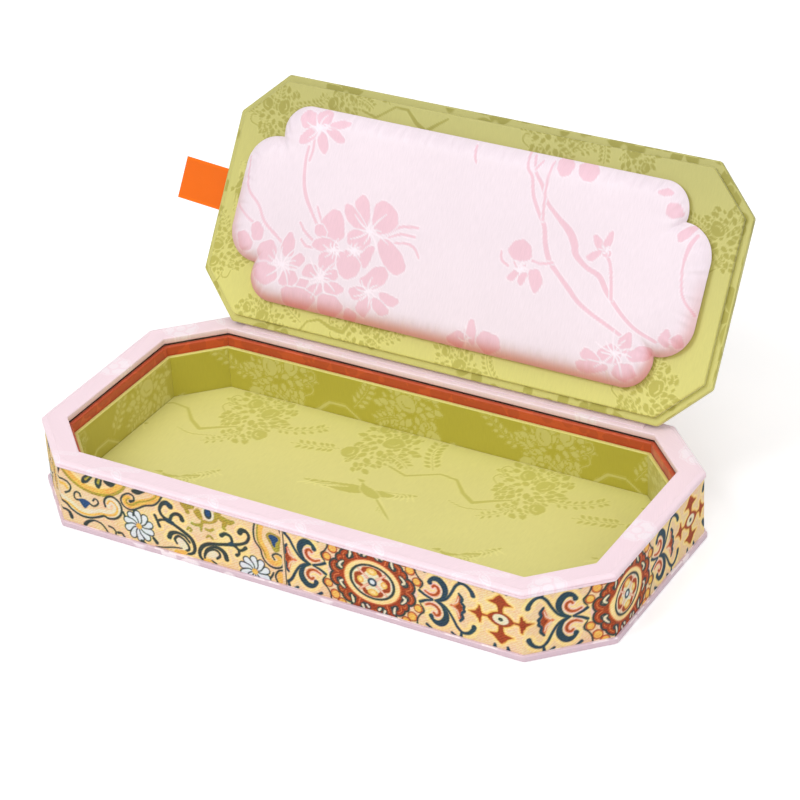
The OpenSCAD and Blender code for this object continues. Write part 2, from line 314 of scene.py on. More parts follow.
def build_blossom_figure():
    """Scattered blossoms and leaves of a figured satin, as a mask."""
    tree, given, out = node_group(
        "Blossom figure",
        [("Cloth", "NodeSocketVector", None), ("Pitch", "NodeSocketFloat", 0.016), ("Size", "NodeSocketFloat", 0.42)],
        [("Figure", "NodeSocketFloat")])
    cells = scaled(tree, given["Cloth"], calc(tree, "DIVIDE", 1.0, given["Pitch"]))
    masks = []
    for factor, petals, share in ((1.0, 2.5, 1.0), (1.9, 1.0, 0.8)):
        place = scaled(tree, cells, factor)
        cell = add(tree, "ShaderNodeTexVoronoi", {"Vector": place, "Scale": 1.0, "Randomness": 0.85},
                   voronoi_dimensions="2D").outputs
        away = vector(tree, "SUBTRACT", place, cell["Position"])[0]
        parts = split(tree, away)
        chance = add(tree, "ShaderNodeSeparateColor", {0: cell["Color"]}).outputs
        angle = calc(tree, "ADD", calc(tree, "ARCTAN2", parts[1], parts[0]), times(tree, chance[0], math.tau))
        reach = calc(tree, "ABSOLUTE", calc(tree, "COSINE", times(tree, angle, petals)))
        edge = times(tree, calc(tree, "MULTIPLY_ADD", reach, 0.75, 0.3), times(tree, given["Size"], share))
        radius = vector(tree, "LENGTH", away)["Value"]
        inside = spread(tree, calc(tree, "SUBTRACT", edge, radius), 0.0, 0.05)
        heart = spread(tree, radius, 0.05, 0.09)
        shown = calc(tree, "GREATER_THAN", chance[1], 0.25)
        masks.append(times(tree, times(tree, inside, heart), shown))
    tree.links.new(calc(tree, "MAXIMUM", *masks), out["Figure"])


# Materials


def shader(name, **values):
    """New material; returns it with its node tree and its Principled BSDF."""
    material = bpy.data.materials.new(name)
    material.use_nodes = True
    tree = material.node_tree
    surface = tree.nodes["Principled BSDF"]
    for key, value in values.items():
        surface.inputs[key].default_value = value
    return material, tree, surface


def finish_shader(tree, surface, base, roughness, height, strength, relief):
    """Links the colour, the roughness and a bump of the given height; relief is in metres."""
    tree.links.new(base, surface.inputs["Base Color"])
    tree.links.new(roughness, surface.inputs["Roughness"])
    bump = add(tree, "ShaderNodeBump", {"Height": height, "Strength": strength, "Distance": relief})
    tree.links.new(bump.outputs[0], surface.inputs["Normal"])


def cloth_place(tree):
    return add(tree, "ShaderNodeUVMap", uv_map="cloth").outputs[0]


def stored(tree, name, output="Fac"):
    return add(tree, "ShaderNodeAttribute", attribute_name=name).outputs[output]


def board_face(tree):
    """Place on the face of a board from its position and normal: along the wall, and up it."""
    coords = add(tree, "ShaderNodeTexCoord").outputs
    along = vector(tree, "CROSS_PRODUCT", coords["Normal"], (0.0, 0.0, 1.0))[0]
    along = vector(tree, "ADD", along, (1e-4, 0.0, 0.0))[0]
    along = vector(tree, "NORMALIZE", along)[0]
    u = vector(tree, "DOT_PRODUCT", along, coords["Object"])["Value"]
    parts = split(tree, coords["Object"])
    flat = calc(tree, "GREATER_THAN", calc(tree, "ABSOLUTE", split(tree, coords["Normal"])[2]), 0.7)
    upright = calc(tree, "SUBTRACT", 1.0, flat)
    v = calc(tree, "ADD", times(tree, parts[2], upright), times(tree, parts[1], flat))
    return add(tree, "ShaderNodeCombineXYZ", {0: u, 1: v, 2: 0.0}).outputs[0]


def satin(name, ground, figure, cloth="uv", mask="drawn", gloss=(0.42, 0.6), relief=0.05, pitch=0.016, size=0.42,
          painted_light=(1.0, 1.0), middle=0.0):
    """Figured satin. cloth is "uv" for cloth that has its own flat places, else "board"; mask is "drawn" or
    "scattered", and pitch and size are those of the scattered blossoms; gloss is the roughness of the ground and of
    the figure; fade is painted light and shade, how light the cloth is painted 50 mm below its middle and 50 mm
    above it."""
    _, tree, surface = shader(name, **{"Sheen Weight": 0.25, "Sheen Roughness": 0.45, "Specular IOR Level": 0.45})
    place = cloth_place(tree) if cloth == "uv" else board_face(tree)
    weave = group_in(tree, "Satin weave", {"Cloth": place, "Threads": SATIN_FINENESS})
    if mask == "drawn":
        drawn = stored(tree, "figure")
    else:
        drawn = group_in(tree, "Blossom figure", {"Cloth": place, "Pitch": pitch, "Size": size})["Figure"]
    base = blend_colours(tree, calc(tree, "MAXIMUM", drawn, 0.0), (*ground, 1), (*figure, 1))
    pale = [min(1, c * 1.16 + 0.02) for c in (ground if sum(ground) > sum(figure) else figure)]
    base = blend_colours(tree, times(tree, calc(tree, "MINIMUM", drawn, 0.0), -0.75), base, (*pale, 1))
    tone = times(tree, spread(tree, weave["Height"], 0.3, 0.7, 0.965, 1.02),
                 spread(tree, weave["Sheen"], 0.3, 0.7, 0.97, 1.02))
    # painted light: the cloth is painted lighter on one side of its middle and darker on the other
    if painted_light != (1.0, 1.0):
        tone = times(tree, tone, spread(tree, split(tree, place)[1], middle - 0.05, middle + 0.05, *painted_light))
    base = blend_colours(tree, 1.0, base, grey(tree, tone), "MULTIPLY")
    # painted shade along the cushion's turned-under lower edge
    base = blend_colours(tree, stored(tree, "turned"), base, PAINTED_SHADE_TINT, "MULTIPLY")
    height = calc(tree, "ADD", times(tree, weave["Height"], 0.35),
                  times(tree, calc(tree, "ABSOLUTE", drawn), 0.6))
    finish_shader(tree, surface, base, spread(tree, drawn, 0.0, 1.0, *gloss), height, 0.5, relief / 1000)


def brocade(name):
    """Brocade whose thread colours lie on the mesh."""
    _, tree, surface = shader(name, **{"Specular IOR Level": 0.2})
    weave = group_in(tree, "Brocade weave", {"Cloth": cloth_place(tree)})
    base = blend_colours(tree, 1.0, stored(tree, "thread", "Color"), weave["Flecks"], "OVERLAY")
    height = weave["Height"]
    finish_shader(tree, surface, base, spread(tree, height, 0.2, 0.9, 0.75, 0.55), height, 0.6, 0.00012)


def paper_board(name, tint):
    """Grey board with fibres."""
    _, tree, surface = shader(name)
    fibres = noise(tree, add(tree, "ShaderNodeTexCoord").outputs["Object"], 420.0, 6.0)[0]
    base = blend_colours(tree, spread(tree, fibres, 0.35, 0.65), (*[c * 0.82 for c in tint], 1), (*tint, 1))
    finish_shader(tree, surface, base, spread(tree, fibres, 0.3, 0.7, 0.85, 0.95), fibres, 0.3, 0.0002)


def ribbon_weave(name, tint):
    """Satin ribbon with fine cross ribs and firm edges."""
    _, tree, surface = shader(name, **{"Specular IOR Level": 0.15})
    place = cloth_place(tree)
    parts = split(tree, place)
    ribs = calc(tree, "SINE", times(tree, parts[1], math.tau / RIB_PITCH))
    weave = group_in(tree, "Satin weave", {"Cloth": place, "Threads": 2600.0})
    selvedge = spread(tree, calc(tree, "ABSOLUTE", parts[0]), 0.0068, 0.0074)
    base = blend_colours(tree, selvedge, (*tint, 1), (*[min(1, c * 1.15) for c in tint], 1))
    tone = grey(tree, spread(tree, weave["Sheen"], 0.3, 0.7, 0.93, 1.04))
    base = blend_colours(tree, 1.0, base, tone, "MULTIPLY")
    finish_shader(tree, surface, base, spread(tree, selvedge, 0.0, 1.0, 0.38, 0.55), ribs, 0.35, 0.00005)


# Painting woven figures. A drawing is written as plain numbers, in millimetres on the flat cloth.

WHEEL_PITCH, WHEEL_ORIGIN = 96.6, (126.5, 14.0)
TOP_ROW_PITCH = 27
CLOUD_PITCH, CLOUD_SHIFT, CLOUD_START = 112.0, 20.8, 20  # a repeat runs from -CLOUD_START


def points_of(text, size=3):
    """Points of a line or a shape: x, y and the line's width there, or x and y alone."""
    return np.array(text.split(), float).reshape(-1, size)


def lines_of(text, size=3):
    """Several lines or shapes, with a slash between them."""
    return [points_of(line, size) for line in text.split("/")]


def curve_through(points, steps=5):
    """Smooth curve through points (x, y, width)."""
    p = np.asarray(points, float)
    p = np.vstack([2 * p[0] - p[1], p, 2 * p[-1] - p[-2]])
    t = np.linspace(0, 1, steps, endpoint=False)[:, None]
    out = []
    for a, b, c, d in zip(p[:-3], p[1:-2], p[2:-1], p[3:]):
        out.append(0.5 * (2 * b + (c - a) * t + (2 * a - 5 * b + 4 * c - d) * t**2 + (3 * b - a - 3 * c + d) * t**3))
    return np.vstack([*out, p[-2:-1]])


class Cloth:
    """Thread colours at points of a flat cloth, in millimetres."""

    def __init__(self, places, threads, ground, soft=0.3, outline=0.4):
        self.places, self.threads, self.soft, self.outline = np.asarray(places, float), threads, soft, outline
        self.colours = np.tile(np.asarray(threads[ground], float), (len(self.places), 1))

    def lay(self, pick, depth, thread):
        """Covers the picked points with a thread where depth is below zero; a figure gets its pale edge first."""
        if thread == "figure":
            self.lay(pick, depth - self.outline, "edge")
        cover = np.clip(0.5 - depth / self.soft, 0, 1)[:, None]
        self.colours[pick] = self.colours[pick] * (1 - cover) + np.asarray(self.threads[thread], float) * cover

    def near(self, low, high, margin):
        u, v = self.places.T
        inside_u = (u > low[0] - margin) & (u < high[0] + margin)
        return np.flatnonzero(inside_u & (v > low[1] - margin) & (v < high[1] + margin))

    def stroke(self, thread, points, smoothly=True):
        """Line of changing width through points (x, y, width)."""
        p = np.array(points, float)
        if smoothly and len(p) > 2:
            p = curve_through(p)
        pick = self.near(p[:, :2].min(0), p[:, :2].max(0), p[:, 2].max() / 2 + self.soft + self.outline)
        if not len(pick):
            return
        q, depth = self.places[pick], np.full(len(pick), 9e9)
        for a, b in zip(p[:-1], p[1:]):
            way = b[:2] - a[:2]
            t = np.clip(((q - a[:2]) @ way) / max(way @ way, 1e-9), 0, 1)
            away = np.hypot(*(q - a[:2] - t[:, None] * way).T)
            np.minimum(depth, away - (a[2] + (b[2] - a[2]) * t) / 2, out=depth)
        self.lay(pick, depth, thread)

    def strokes(self, thread, lines, more=0.0):
        """Lines of one thread, each so much wider than it is drawn."""
        for line in lines:
            self.stroke(thread, line + [0, 0, more])

    def patch(self, thread, points, smoothly=True, grow=0.0):
        """Filled shape, grown by so much all round."""
        p = np.array(points, float)
        if smoothly:
            p = curve_through(np.vstack([p[-2:], p, p[:2]]))[10:10 + 5 * len(p)]
        pick = self.near(p.min(0), p.max(0), self.soft + self.outline + grow)
        if not len(pick):
            return
        q, depth, inside = self.places[pick], np.full(len(pick), 9e9), np.zeros(len(pick), bool)
        for a, b in zip(p, np.roll(p, -1, 0)):
            way = b - a
            t = np.clip(((q - a) @ way) / max(way @ way, 1e-9), 0, 1)
            np.minimum(depth, np.hypot(*(q - a - t[:, None] * way).T), out=depth)
            crossed = (a[1] > q[:, 1]) != (b[1] > q[:, 1])
            inside ^= crossed & (q[:, 0] < a[0] + (q[:, 1] - a[1]) * way[0] / (way[1] if way[1] else 1e-9))
        self.lay(pick, np.where(inside, -depth, depth) - grow, thread)

    def ring(self, thread, centre, inner, outer, squash=1.0):
        """Oval ring; squash is its width over its height."""
        wide = outer * max(squash, 1)
        pick = self.near(np.subtract(centre, wide), np.add(centre, wide), self.soft)
        r = np.hypot(*((self.places[pick] - centre) / [squash, 1]).T)
        self.lay(pick, np.maximum(inner - r, r - outer), thread)

    def draw(self, marks):
        """Lays marks in order, with a semicolon between them. A mark is its kind, its thread and its numbers, and a
        slash starts another one of that kind and thread. "stroke" (smooth) and "line" (straight) take points (x, y,
        width), "patch" takes points (x, y), and "ring" takes its centre, inner radius, outer radius and squash."""
        for mark in marks.split(";"):
            kind, thread, numbers = mark.split(None, 2)
            for part in numbers.split("/"):
                if kind == "ring":
                    x, y, inner, outer, squash = points_of(part, 5)[0]
                    self.ring(thread, (x, y), inner, outer, squash)
                elif kind == "patch":
                    self.patch(thread, points_of(part, 2))
                else:
                    self.stroke(thread, points_of(part), smoothly=kind == "stroke")


# Wheel cloth: one quarter of a wheel with its middle at (0, 0), and the cross half a pitch to its right

WHEEL_SCROLLS = lines_of("""
24.6 .3 .9  26.6 1.6 1.3  27.9 4.2 2.1  27.6 6.6 2.6  26 8.5 2.6  24.2 8.8 2.1  22.7 7.9 1.5  22.2 6.7 2 /
24 .1 .8  26.2 .5 .9  28.4 2.1 1  30.3 5 1.1  32 8.2 1.2  34 9.8 1.2  36.2 9.3 1.4  37.8 7.6 1.7  38.3 6.3 2 /
18.2 2.2 1.3  20.3 1 1.1  23 .1 .9""")
WHEEL_CURL = points_of("""
20.3 2.7 .8  22.2 1.9 1  24.2 2.3 1.2  25.4 3.8 1.3  25.2 5.3 1.2  24 5.9 1.1  23.2 5.2 1""")
WHEEL_BUD = """
stroke navy 20.4 10.6 1.3  22.2 11.8 .9 /  29.8 11 1.1  31.4 12 .9 /  33.4 9.9 1  33.2 12 1.4;
patch coral 29.4 0  31.4 1.3  32.6 4.6  33.5 5.4  34.2 3  33.7 1.9  34.6 0  33.7 -1.9  34.2 -3  33.5 -5.4  32.6 -4.6
31.4 -1.3;
patch rust 31.6 0  32.8 1.4  33.2 4  33.8 2.9  33.4 1.9  34.2 0  33.4 -1.9  33.8 -2.9  33.2 -4  32.8 -1.4;
stroke pink 30.6 .5 .4  32.2 1.8 .5  32.9 3.8 .3;
stroke navy 33.1 5.4 1  34.2 3.8 1.3  33.9 2.2 1.1  34.8 1 1.3  34.7 0 1.2"""
CROSS = lines_of("""
.9 2  .9 4.4  1.5 5.6  4.6 6.2  2.6 7.2  1.5 8.5  .2 9.6  -.2 9.6  -1.5 8.5  -2.6 7.2  -4.6 6.2  -1.5 5.6  -.9 4.4
-.9 2 /
-11.8 0  -10.2 .5  -9.2 .8  -8.9 1.6  -8.3 2  -8 3.4  -7.4 3.2  -7.2 1.4  -6.8 .4  -4.4 .3  -4.4 -.3  -6.8 -.4
-7.2 -1.4  -7.4 -3.2  -8 -3.4  -8.3 -2  -8.9 -1.6  -9.2 -.8  -10.2 -.5 /
-4.9 0  -3.4 1.7  -1.2 2.7  1.2 2.7  3.4 1.7  4.9 0  3.4 -1.7  1.2 -2.7  -1.2 -2.7  -3.4 -1.7""", 2)
WHEEL_BEADS = ((14.9, 9.2, 1.9), (17.3, 5.3, 1.7), (12.4, 11.8, 1.8))
WHEEL_BEAD_LINE = points_of("""
16.6 12 .7  16.9 9.4 .7  18 7.4 .7  19.4 5.9 .8  19.2 4.4 .7  18.3 3.2 .6""")
WHEEL_HEADS = lines_of("""
10 0 3.4  13.4 0 2.4 /  13 .4 2  14.6 1.3 2  15 2.8 1.8  14.3 4.1 1.3  13.5 4.3 .9 /  8.6 4.8 3.2  10.8 6.5 2.2 /
10.8 6.5 1.8  12.2 6.8 1.7  12.7 5.7 1.2  12.3 5.2 .8 /  10.6 6.8 1.9  10.7 8.4 1.8  9.5 9.5 1.5  8.6 9.2 .9 /
0 8 3.6  0 11.2 2.6 /  .4 11.2 1.9  2.4 12.2 1.9  3.4 11.2 1.3 /  5.2 8.2 2.6  6 10.4 2  7.4 11.6 1.6""")
WHEEL_SLIVERS = lines_of("""
11.7 2.6 .7  12.5 3.3 .9  12 4.4 .8  11 5.3 .5 /  8.4 7.8 .5  8 9 .9  7.9 10.2 .8 /  2 10.6 .9  2.6 9.9 .7 /
4.3 10.4 .9  3.9 11.4 .7""")
WHEEL_LEAVES = lines_of("""
3.5 3.3 1  2.7 4.5 1.5  0 5.1 1.5 /  6.2 0 1.2  5.9 1.5 1.5  4.4 2.4 1.1""")


def wheel_cloth(uv, threads):
    """Brocade with wheels, scroll pairs and crosses; mirrored about each wheel and each cross."""
    half = WHEEL_PITCH / 2
    c = Cloth(np.c_[np.abs((uv[:, 0] + half) % WHEEL_PITCH - half), np.abs(uv[:, 1])], threads, "peach")
    c.strokes("yellow", WHEEL_SCROLLS, 2.6)
    for thread, more in (("yellow", 2.4), ("pink", 1.2), ("coral", 0.1), ("rust", -0.6)):
        c.strokes(thread, [WHEEL_CURL], more)
    c.strokes("navy", WHEEL_SCROLLS)
    c.draw(WHEEL_BUD)
    # cross
    for thread, more in (("yellow", 1.2), ("gold", 0.4), ("rust", 0.0)):
        for shape, smoothly in zip(CROSS, (False, False, True)):
            c.patch(thread, shape + [half, 0], smoothly, more)
    c.ring("cream", (half, 0), 0, 1.95, 1.5)
    c.ring("ink", (half, 0), 0, 0.75, 1.25)
    c.stroke("navy", [(half - 2.4, 10.6, 1.2), (half - 2.6, 12, 1.8)])
    # beads round the wheel, and their outer line
    c.ring("pink", (0, 0), 0, 12.4, 1.38)
    for x, y, r in WHEEL_BEADS:
        c.ring("rust", (x, y), 0, r + 0.1)
        c.ring("coral", (x, y), 0, r - 0.3)
        c.ring("gold", (x - 0.1, y + 0.1), 0, r - 0.5)
    c.stroke("ink", WHEEL_BEAD_LINE)
    # cloud heads round the rim
    c.strokes("ink", WHEEL_HEADS, 1.7)
    c.draw("ring ink 0 0 0 10.2 1.27; ring rust 0 0 0 9.4 1.27")
    for line in WHEEL_HEADS:
        c.stroke("rust", line)
        c.stroke("coral", line[:-1] * [1, 1, 0.16])
    for line in WHEEL_SLIVERS:
        c.strokes("ink", [line], 0.9)
        c.stroke("cream", line)
    # rings, leaves, spokes and hub
    c.draw("ring coral 0 0 0 8.7 1.27; ring yellow 0 0 0 8.35 1.27; "
           "ring ink 0 0 0 7.05 1.26; ring cream 0 0 0 6.15 1.26")
    for line in WHEEL_LEAVES:
        c.strokes("coral", [line], 0.5)
        c.stroke("rust", line)
    for x, y, squash in ((0, 4.1, 1.5), (4.5, 0, 0.95)):
        c.ring("gold", (x, y), 0, 1.35, squash)
        c.ring("yellow", (x, y), 0, 0.7, squash)
    c.draw("line coral 1.2 .9 .9  5.1 4 .9; line pink 1.2 .9 .5  5.1 4 .5; "
           "ring navy 0 0 0 1.7 1.08; ring white 0 0 0 .85 1.08")
    return c.colours


# Cloud cloth: one repeat, u from the left end of the front side and v up from the table

TENDRILS = lines_of("""
47.2 21.3 2.4  45.8 22.2 1.9  43.9 21.3 1.4  42.6 18.6 1.1  43.5 16.4 1.1  46 14.9 1.3  49 13.6 1.2  52.3 11.9 1.3
54.8 10.2 1.4  55.9 7.8 1.4  55.8 5.3 1.1  54.3 3.7 .9  52 3.1 .6 /
51.8 17 1.9  51.2 18.4 1.6  49.5 18.8 1.3  47.6 17.6 1.1  46.4 15 1.2 /
40.4 15.6 1.2  41.2 13.6 1  41.9 11.6 1.2 /
41.2 13.7 .9  43.4 14.7 .8  46 15 1.1 /
45.6 8.2 1.8  46.6 10 1.6  49.2 11 1.1  52.2 10.3 .9  54 8.4 .8 /
48.6 6.4 .7  47.9 8 .9  49.3 9.6 .8  51.4 9.1 .8  53.2 7.2 .8  53.6 5.4 .8  52.2 4.3 .7 /
75.4 18.6 2  76.4 19.8 1.8  78.2 19.6 1.3  79 17.8 1.1  77.8 15.4 1  75.2 13.8 1  71.6 12.6 1.2  66.5 11.2 1.1
62 10 1.3  59.2 8.1 1.4  57.9 5.5 1.3  58.2 3.4 1.1  59.8 2.3 .9 /
67.6 15.2 1.5  69.4 16.4 1.2  71.4 15.8 1.1  71.9 13.8 1  71.3 12.6 1.4 /
77.4 12.9 1.3  76 11.6 1  74.6 10.9 1  74.4 9.6 .9  73.4 8.8 1.3 /
74.6 10.9 1  73.2 12.2 1  71.6 12.6 1.1 /
69 5.8 1.8  68.4 8 1.8  66.4 9.4 1.4  63.6 9.2 .9  61 7.4 .8  59.9 5.2 .7 /
65 4.9 .8  66.3 6.2 .8  65.9 7.8 .8  64 8.3 .7  61.4 7 .8  60 4.8 .8  59.8 3.6 .7""")
TENDRIL_EYES = """
patch cream 50.5 4.6  53 5.2  52.4 8.2  49.6 9  48.7 7.2;
patch cream 60.6 4.6  65.2 5.2  65.2 7.2  62.4 7.6"""
BUDS_AND_FLOWER = """
stroke navy 47.2 21.3 1.8  45.8 22.2 1.4;
line navy 45.7 15 2.2  47.6 14.4 1.8;
line navy 71 12.6 1.6  72 13 1.6;
stroke gold 48.4 2.6 2.6  52 3.6 1.4;
stroke gold 60 2.6 1.6  62 3.2 1.2  64 2.4 1.6;
stroke ink 62.8 3.4 .7  64.4 2.6 .9;
stroke ink 39.5 2.4 .5  43.5 3.2 .7  46.6 4.2 .7  50.5 4.9 .6;
stroke olive 56.2 24 2.6  53.4 23.2 2.4  52.2 24.2 1.4 /  54.4 21.2 2  53.6 22.6 1.2 /  58.8 22.6 2.2  59.4 20.4 2.2
57.6 22 1.4 /  60.4 18.8 1.6  63 19.2 1.2  65.2 20.4 1.6  66.4 22.8 2.4  67.4 24.4 2.2 /  68.4 22.2 2.6
71.2 21.6 2.4  73.2 22.2 1.2 /  69.4 20.2 2  68.8 18.6 1.2  69.6 18.2 1 /  55.9 16.8 1.2  57.4 16.6 1.2
59.6 17.2 1.4  60.3 18.4 1 /  59.6 16.8 1.4  59.4 14.8 .9 /  61.4 16 1  63 15.8 1.2  64.6 16.8 1 /  53.6 13.6 .9
54.4 14.6 1  55.4 14 .9  54.8 13.2 .9 /  61.4 12.6 .8  62.6 13.6 1  63.9 12.8 1;
ring cream 62.9 22.6 0 2.9 .85;
ring ink 62.9 22.7 0 2.2 .72;
ring blue 62.9 22.9 0 1.4 .72"""
STUBS_AND_MEDALLION = """
line ink 31 12.9 .9  31.6 15.4 .9;
line ink 26.8 13 1  27.3 11.6 1;
line ink 38.8 5.6 1.4  40 4.2 1.7;
line ink 33.6 2.9 1.6  35 2.2 1.2;
stroke ink 86.4 3.2 .8  87.4 4.6 .9  88 6 .7;
ring olive 15.4 30.4 11.6 13.6 1.15;
ring gold 15.4 30.8 10.2 12.8 1.15;
ring yellow 15.4 30.8 9.6 10.8 1.15;
ring peach 15.4 30.8 0 9.8 1.15"""
TUFTS = lines_of("""
10.6 21.2 1.6  11.8 22.4 2.8  14 24.4 2.2 /  17 20.9 1.8  17.2 22.4 3  18 24.4 2.6 /  20.4 23.8 1.6  22.4 23.4 2.6
24.2 24.4 1.6 /  32 23.2 1.4  33.8 23.4 2.4  36.6 24.4 1.2 /  -.4 22 1.2  .4 24.4 1.6""")
CLOUDS_AND_RIBBON = """
stroke cream 20.4 13.8 2  21 15.8 2.6  23 16.2 2.6  24.3 14 2.8  23.4 11.6 3.2  20.6 10.4 3.2  17 10 3  12 8.3 3
7.4 8.4 3  4 10.4 3  -2 12.8 3;
stroke gold 20.2 14.6 .8  21.4 16.2 .8  23.4 15.6 .8  24.4 13.4 .9  23 10.9 1  20 9.8 1  16.6 9.4 1  12 7.7 1
7.6 7.8 1  3.6 10 1  -2 12 1;
stroke ink 19.3 13.3 .95  19 15.4 .95  20.4 17.4 .95  22.9 18.2 .95  25.4 16.8 .95  26.3 14.2 .95  25.4 11.3 .95
23 9.2 .95  20 8.5 .95  18.3 9 .95  15.8 7.9 .95  12 6.5 .95  8 6.4 .95  4.2 8 .95  2.2 9.9 .95  -1 10.9 .95
-4 10.2 .95;
stroke gold -2 18 1.2  2 18 1.2  3.4 16.4 1;
stroke ink 2.3 14.4 .9  4.2 15.6 .8  4.9 17.6 .8  3.4 19.4 .8  0 20 .8  -3 19 .7;
stroke gold 30.2 20.2 1.4  28.4 19.6 1.8  28.2 17.6 2  30.2 16.7 2.2  33.2 18.4 2.4  36 19.8 2.4  39.4 21.2 2.4
41.6 23 2.4  43 25 2.4;
stroke olive 30 19.6 .5  28.8 18.8 .6  29 17.4 .7  31 17.2 .7  34 19.2 .7  38 20.9 .6  41 22.8 .6  42.2 25 .6;
stroke ink 30.4 18.5 1.4  32 19.4 .9  31.8 21.2 .8  29.8 21.6 .8  27.3 20 .8  26.4 17.6 .8  27.8 15.5 .8
30.6 15.1 .8  33.6 16.6 .8  36.4 18.4 .8  40 19.6 .8  42.4 21.6 .8  44.4 24.8 .9;
stroke ink 8.8 14.6 .9  8.3 15.8 .9  6.8 15.8 .8  6 14.2 .8  6.6 12.8 .8  8.6 12.9 .9  11.6 12.9 .9  14 11.9 .8
16 13.2 .8  16.2 14.6 .8  15 15.2 .7  14.1 14.2 .9;
patch blue 7.9 13.1  10.2 13.9  12.7 12.9  11.6 11.2  10.1 9.9  8.8 11.3;
stroke ink -3 6.4 .8  .6 7.3 .9  2.8 6.7 1.3  3.6 5.2 1.8  3.8 4.4 1.6 /  9.4 3 1.6  11 4.6 1.4  13.6 5.8 .8
16.4 5.4 .8  18.2 3.8 .8  19.2 2.2 .8 /  19.8 5.2 .8  21.4 4.9 .8  22.6 3.6 .8  22.4 2.4 .8 /  23.6 3.6 1.2
25.2 3.7 .9  26.2 2.4 1;
stroke gold 84.4 25 2.4  83.4 21 2.3  83.5 17.6 2.4  85.4 14.2 2.3  86.2 11.6 2.2  88.2 10 2.2  90.4 10.6 2
91 12.3 1.6  89.8 13.1 1.4;
stroke olive 83.2 25 .7  82.5 21 .7  82.7 17.2 .7  84.6 14 .7  85.4 11.4 .6;
stroke ink 82 25 .8  81.1 21 .8  81.4 17.2 .8  83.3 14.4 .8  84 11.4 .8  85.6 9.1 .8  88.4 8.1 .9  91.4 9.2 .8
92.5 11.6 .8  91.6 13.8 .8  89.6 14.2 .8  88.1 13 .8  88.8 11.6 .8;
stroke olive 92.3 25 1  93 21 1  92.6 17 1;
stroke ink 91.6 25 .8  92 23 .6;
patch olive 86 20.6  87.6 22.4  90 22.2  92.4 21  91.6 18.6  91 15.6  89 14.8  87.6 17.4;
patch blue 87 20.5  88.2 21.6  90.4 21.2  91 20  89.8 18.4  89.4 16.6  88.4 17.4  88 19;
stroke gold 90.4 3.2 2.2  90.6 6.2 2.2;
stroke ink 89.4 2.4 .8  88.7 4.8 .8  90 7.2 .8  91.6 8 .8"""


def daisy(c, x, y):
    """Daisy of ten petals, that lean a little to one side."""
    c.ring("yellow", (x, y), 0, 6.9, 0.98)
    middle = np.array([x, y])
    for k in range(10):
        a = np.radians(36 * k + 10)
        out, side = np.array([np.cos(a), np.sin(a)]), np.array([-np.sin(a), np.cos(a)])
        for thread, more in (("ink", 1.0), ("white", -0.1)):
            c.stroke(thread, [(*(middle + out * 1.3), 0.7 + more), (*(middle + out * 2.8), 1.6 + more),
                              (*(middle + out * 4.9 + side * 0.9), 2.3 + more)])
    c.ring("gold", (x, y), 0, 1.2)


def far_wheel(c, x, y):
    """Small wheel of eight spokes, in the part of the repeat that lies behind the box."""
    c.ring("yellow", (x, y), 0, 6.4)
    middle = np.array([x, y])
    for k in range(8):
        a = np.radians(45 * k)
        out = np.array([np.cos(a), np.sin(a)])
        for thread, more in (("ink", 0.9), ("gold", 0)):
            c.stroke(thread, [(*(middle + out * 1.6), 1 + more), (*(middle + out * 4.4), 2.6 + more)], smoothly=False)
    c.ring("rust", (x, y), 0, 1.8)
    c.ring("yellow", (x, y), 0, 0.9)


def cloud_cloth(uv, threads):
    """Brocade with tendrils, daisies and cloud scrolls."""
    c = Cloth(np.c_[(uv[:, 0] + CLOUD_SHIFT) % CLOUD_PITCH - CLOUD_START, uv[:, 1]], threads, "peach")
    c.strokes("yellow", TENDRILS, 2.6)
    c.draw(TENDRIL_EYES)
    c.strokes("ink", TENDRILS, 0.25)
    c.draw(BUDS_AND_FLOWER)
    daisy(c, 33, 9)
    daisy(c, 80.4, 4.2)
    c.draw(STUBS_AND_MEDALLION)
    for tuft in TUFTS:
        c.stroke("ink", tuft)
        c.stroke("olive" if tuft[0, 0] < 19 else "ink", tuft[1:] - [0, 0, 1.9])
    c.draw(CLOUDS_AND_RIBBON)
    far_wheel(c, -12.5, 14.0)
    return c.colours


# Figures of the satins; "edge" is the pale thread that outlines a figure, and also the painted highlight along the top
# of the tray walls

SATIN_THREADS = {"ground": [0.0], "figure": [1.0], "edge": [-1.0]}


def turned(x, y, size, turn):
    """Placer of a motif: its own (u, v) to cloth places."""
    way = np.array([[math.cos(turn), -math.sin(turn)], [math.sin(turn), math.cos(turn)]])
    return lambda u, v: np.array([x, y]) + way @ np.array([u, v]) * size


def placed(at, text):
    """Points (x, y, width) of a line of a motif; its widths don't turn or grow with it."""
    return [(*at(u, v), width) for u, v, width in points_of(text)]


def leaf(c, root, tip, wide):
    root, tip = np.array(root, float), np.array(tip, float)
    way = tip - root
    side = np.array([-way[1], way[0]]) / max(np.hypot(*way), 1e-6) * wide
    near, far = root + 0.3 * way, root + 0.65 * way
    c.patch("figure", [root, near + 0.8 * side, far + 0.7 * side, tip, far - 0.7 * side, near - 0.8 * side], False)


ROUND_PETAL = points_of(".1 0  .4 .42  .75 .5  1 .25  .94 0  1 -.25  .75 -.5  .4 -.42", 2)


def blossom(c, centre, radius, petals, turn):
    """Full blossom of overlapping round petals."""
    for k in range(petals):
        at = turned(*centre, radius, turn + math.tau * k / petals)
        c.patch("figure", [at(*p) for p in ROUND_PETAL])
    at = turned(*centre, radius, turn)
    c.patch("figure", [at(0.34 * math.cos(a), 0.34 * math.sin(a)) for a in np.linspace(0, math.tau, 7)[:-1]])


def full_rose(c, centre, radius, turn):
    """Head of a full rose, with the fold of a petal."""
    at = turned(*centre, radius, turn)
    c.patch("figure", [at(math.cos(a) * (1 + 0.12 * math.sin(3 * a)), 0.85 * math.sin(a))
                       for a in np.linspace(0, math.tau, 10)[:-1]])
    c.stroke("edge", placed(at, "-.5 .1 .1  0 .4 .25  .55 .2 .1"))


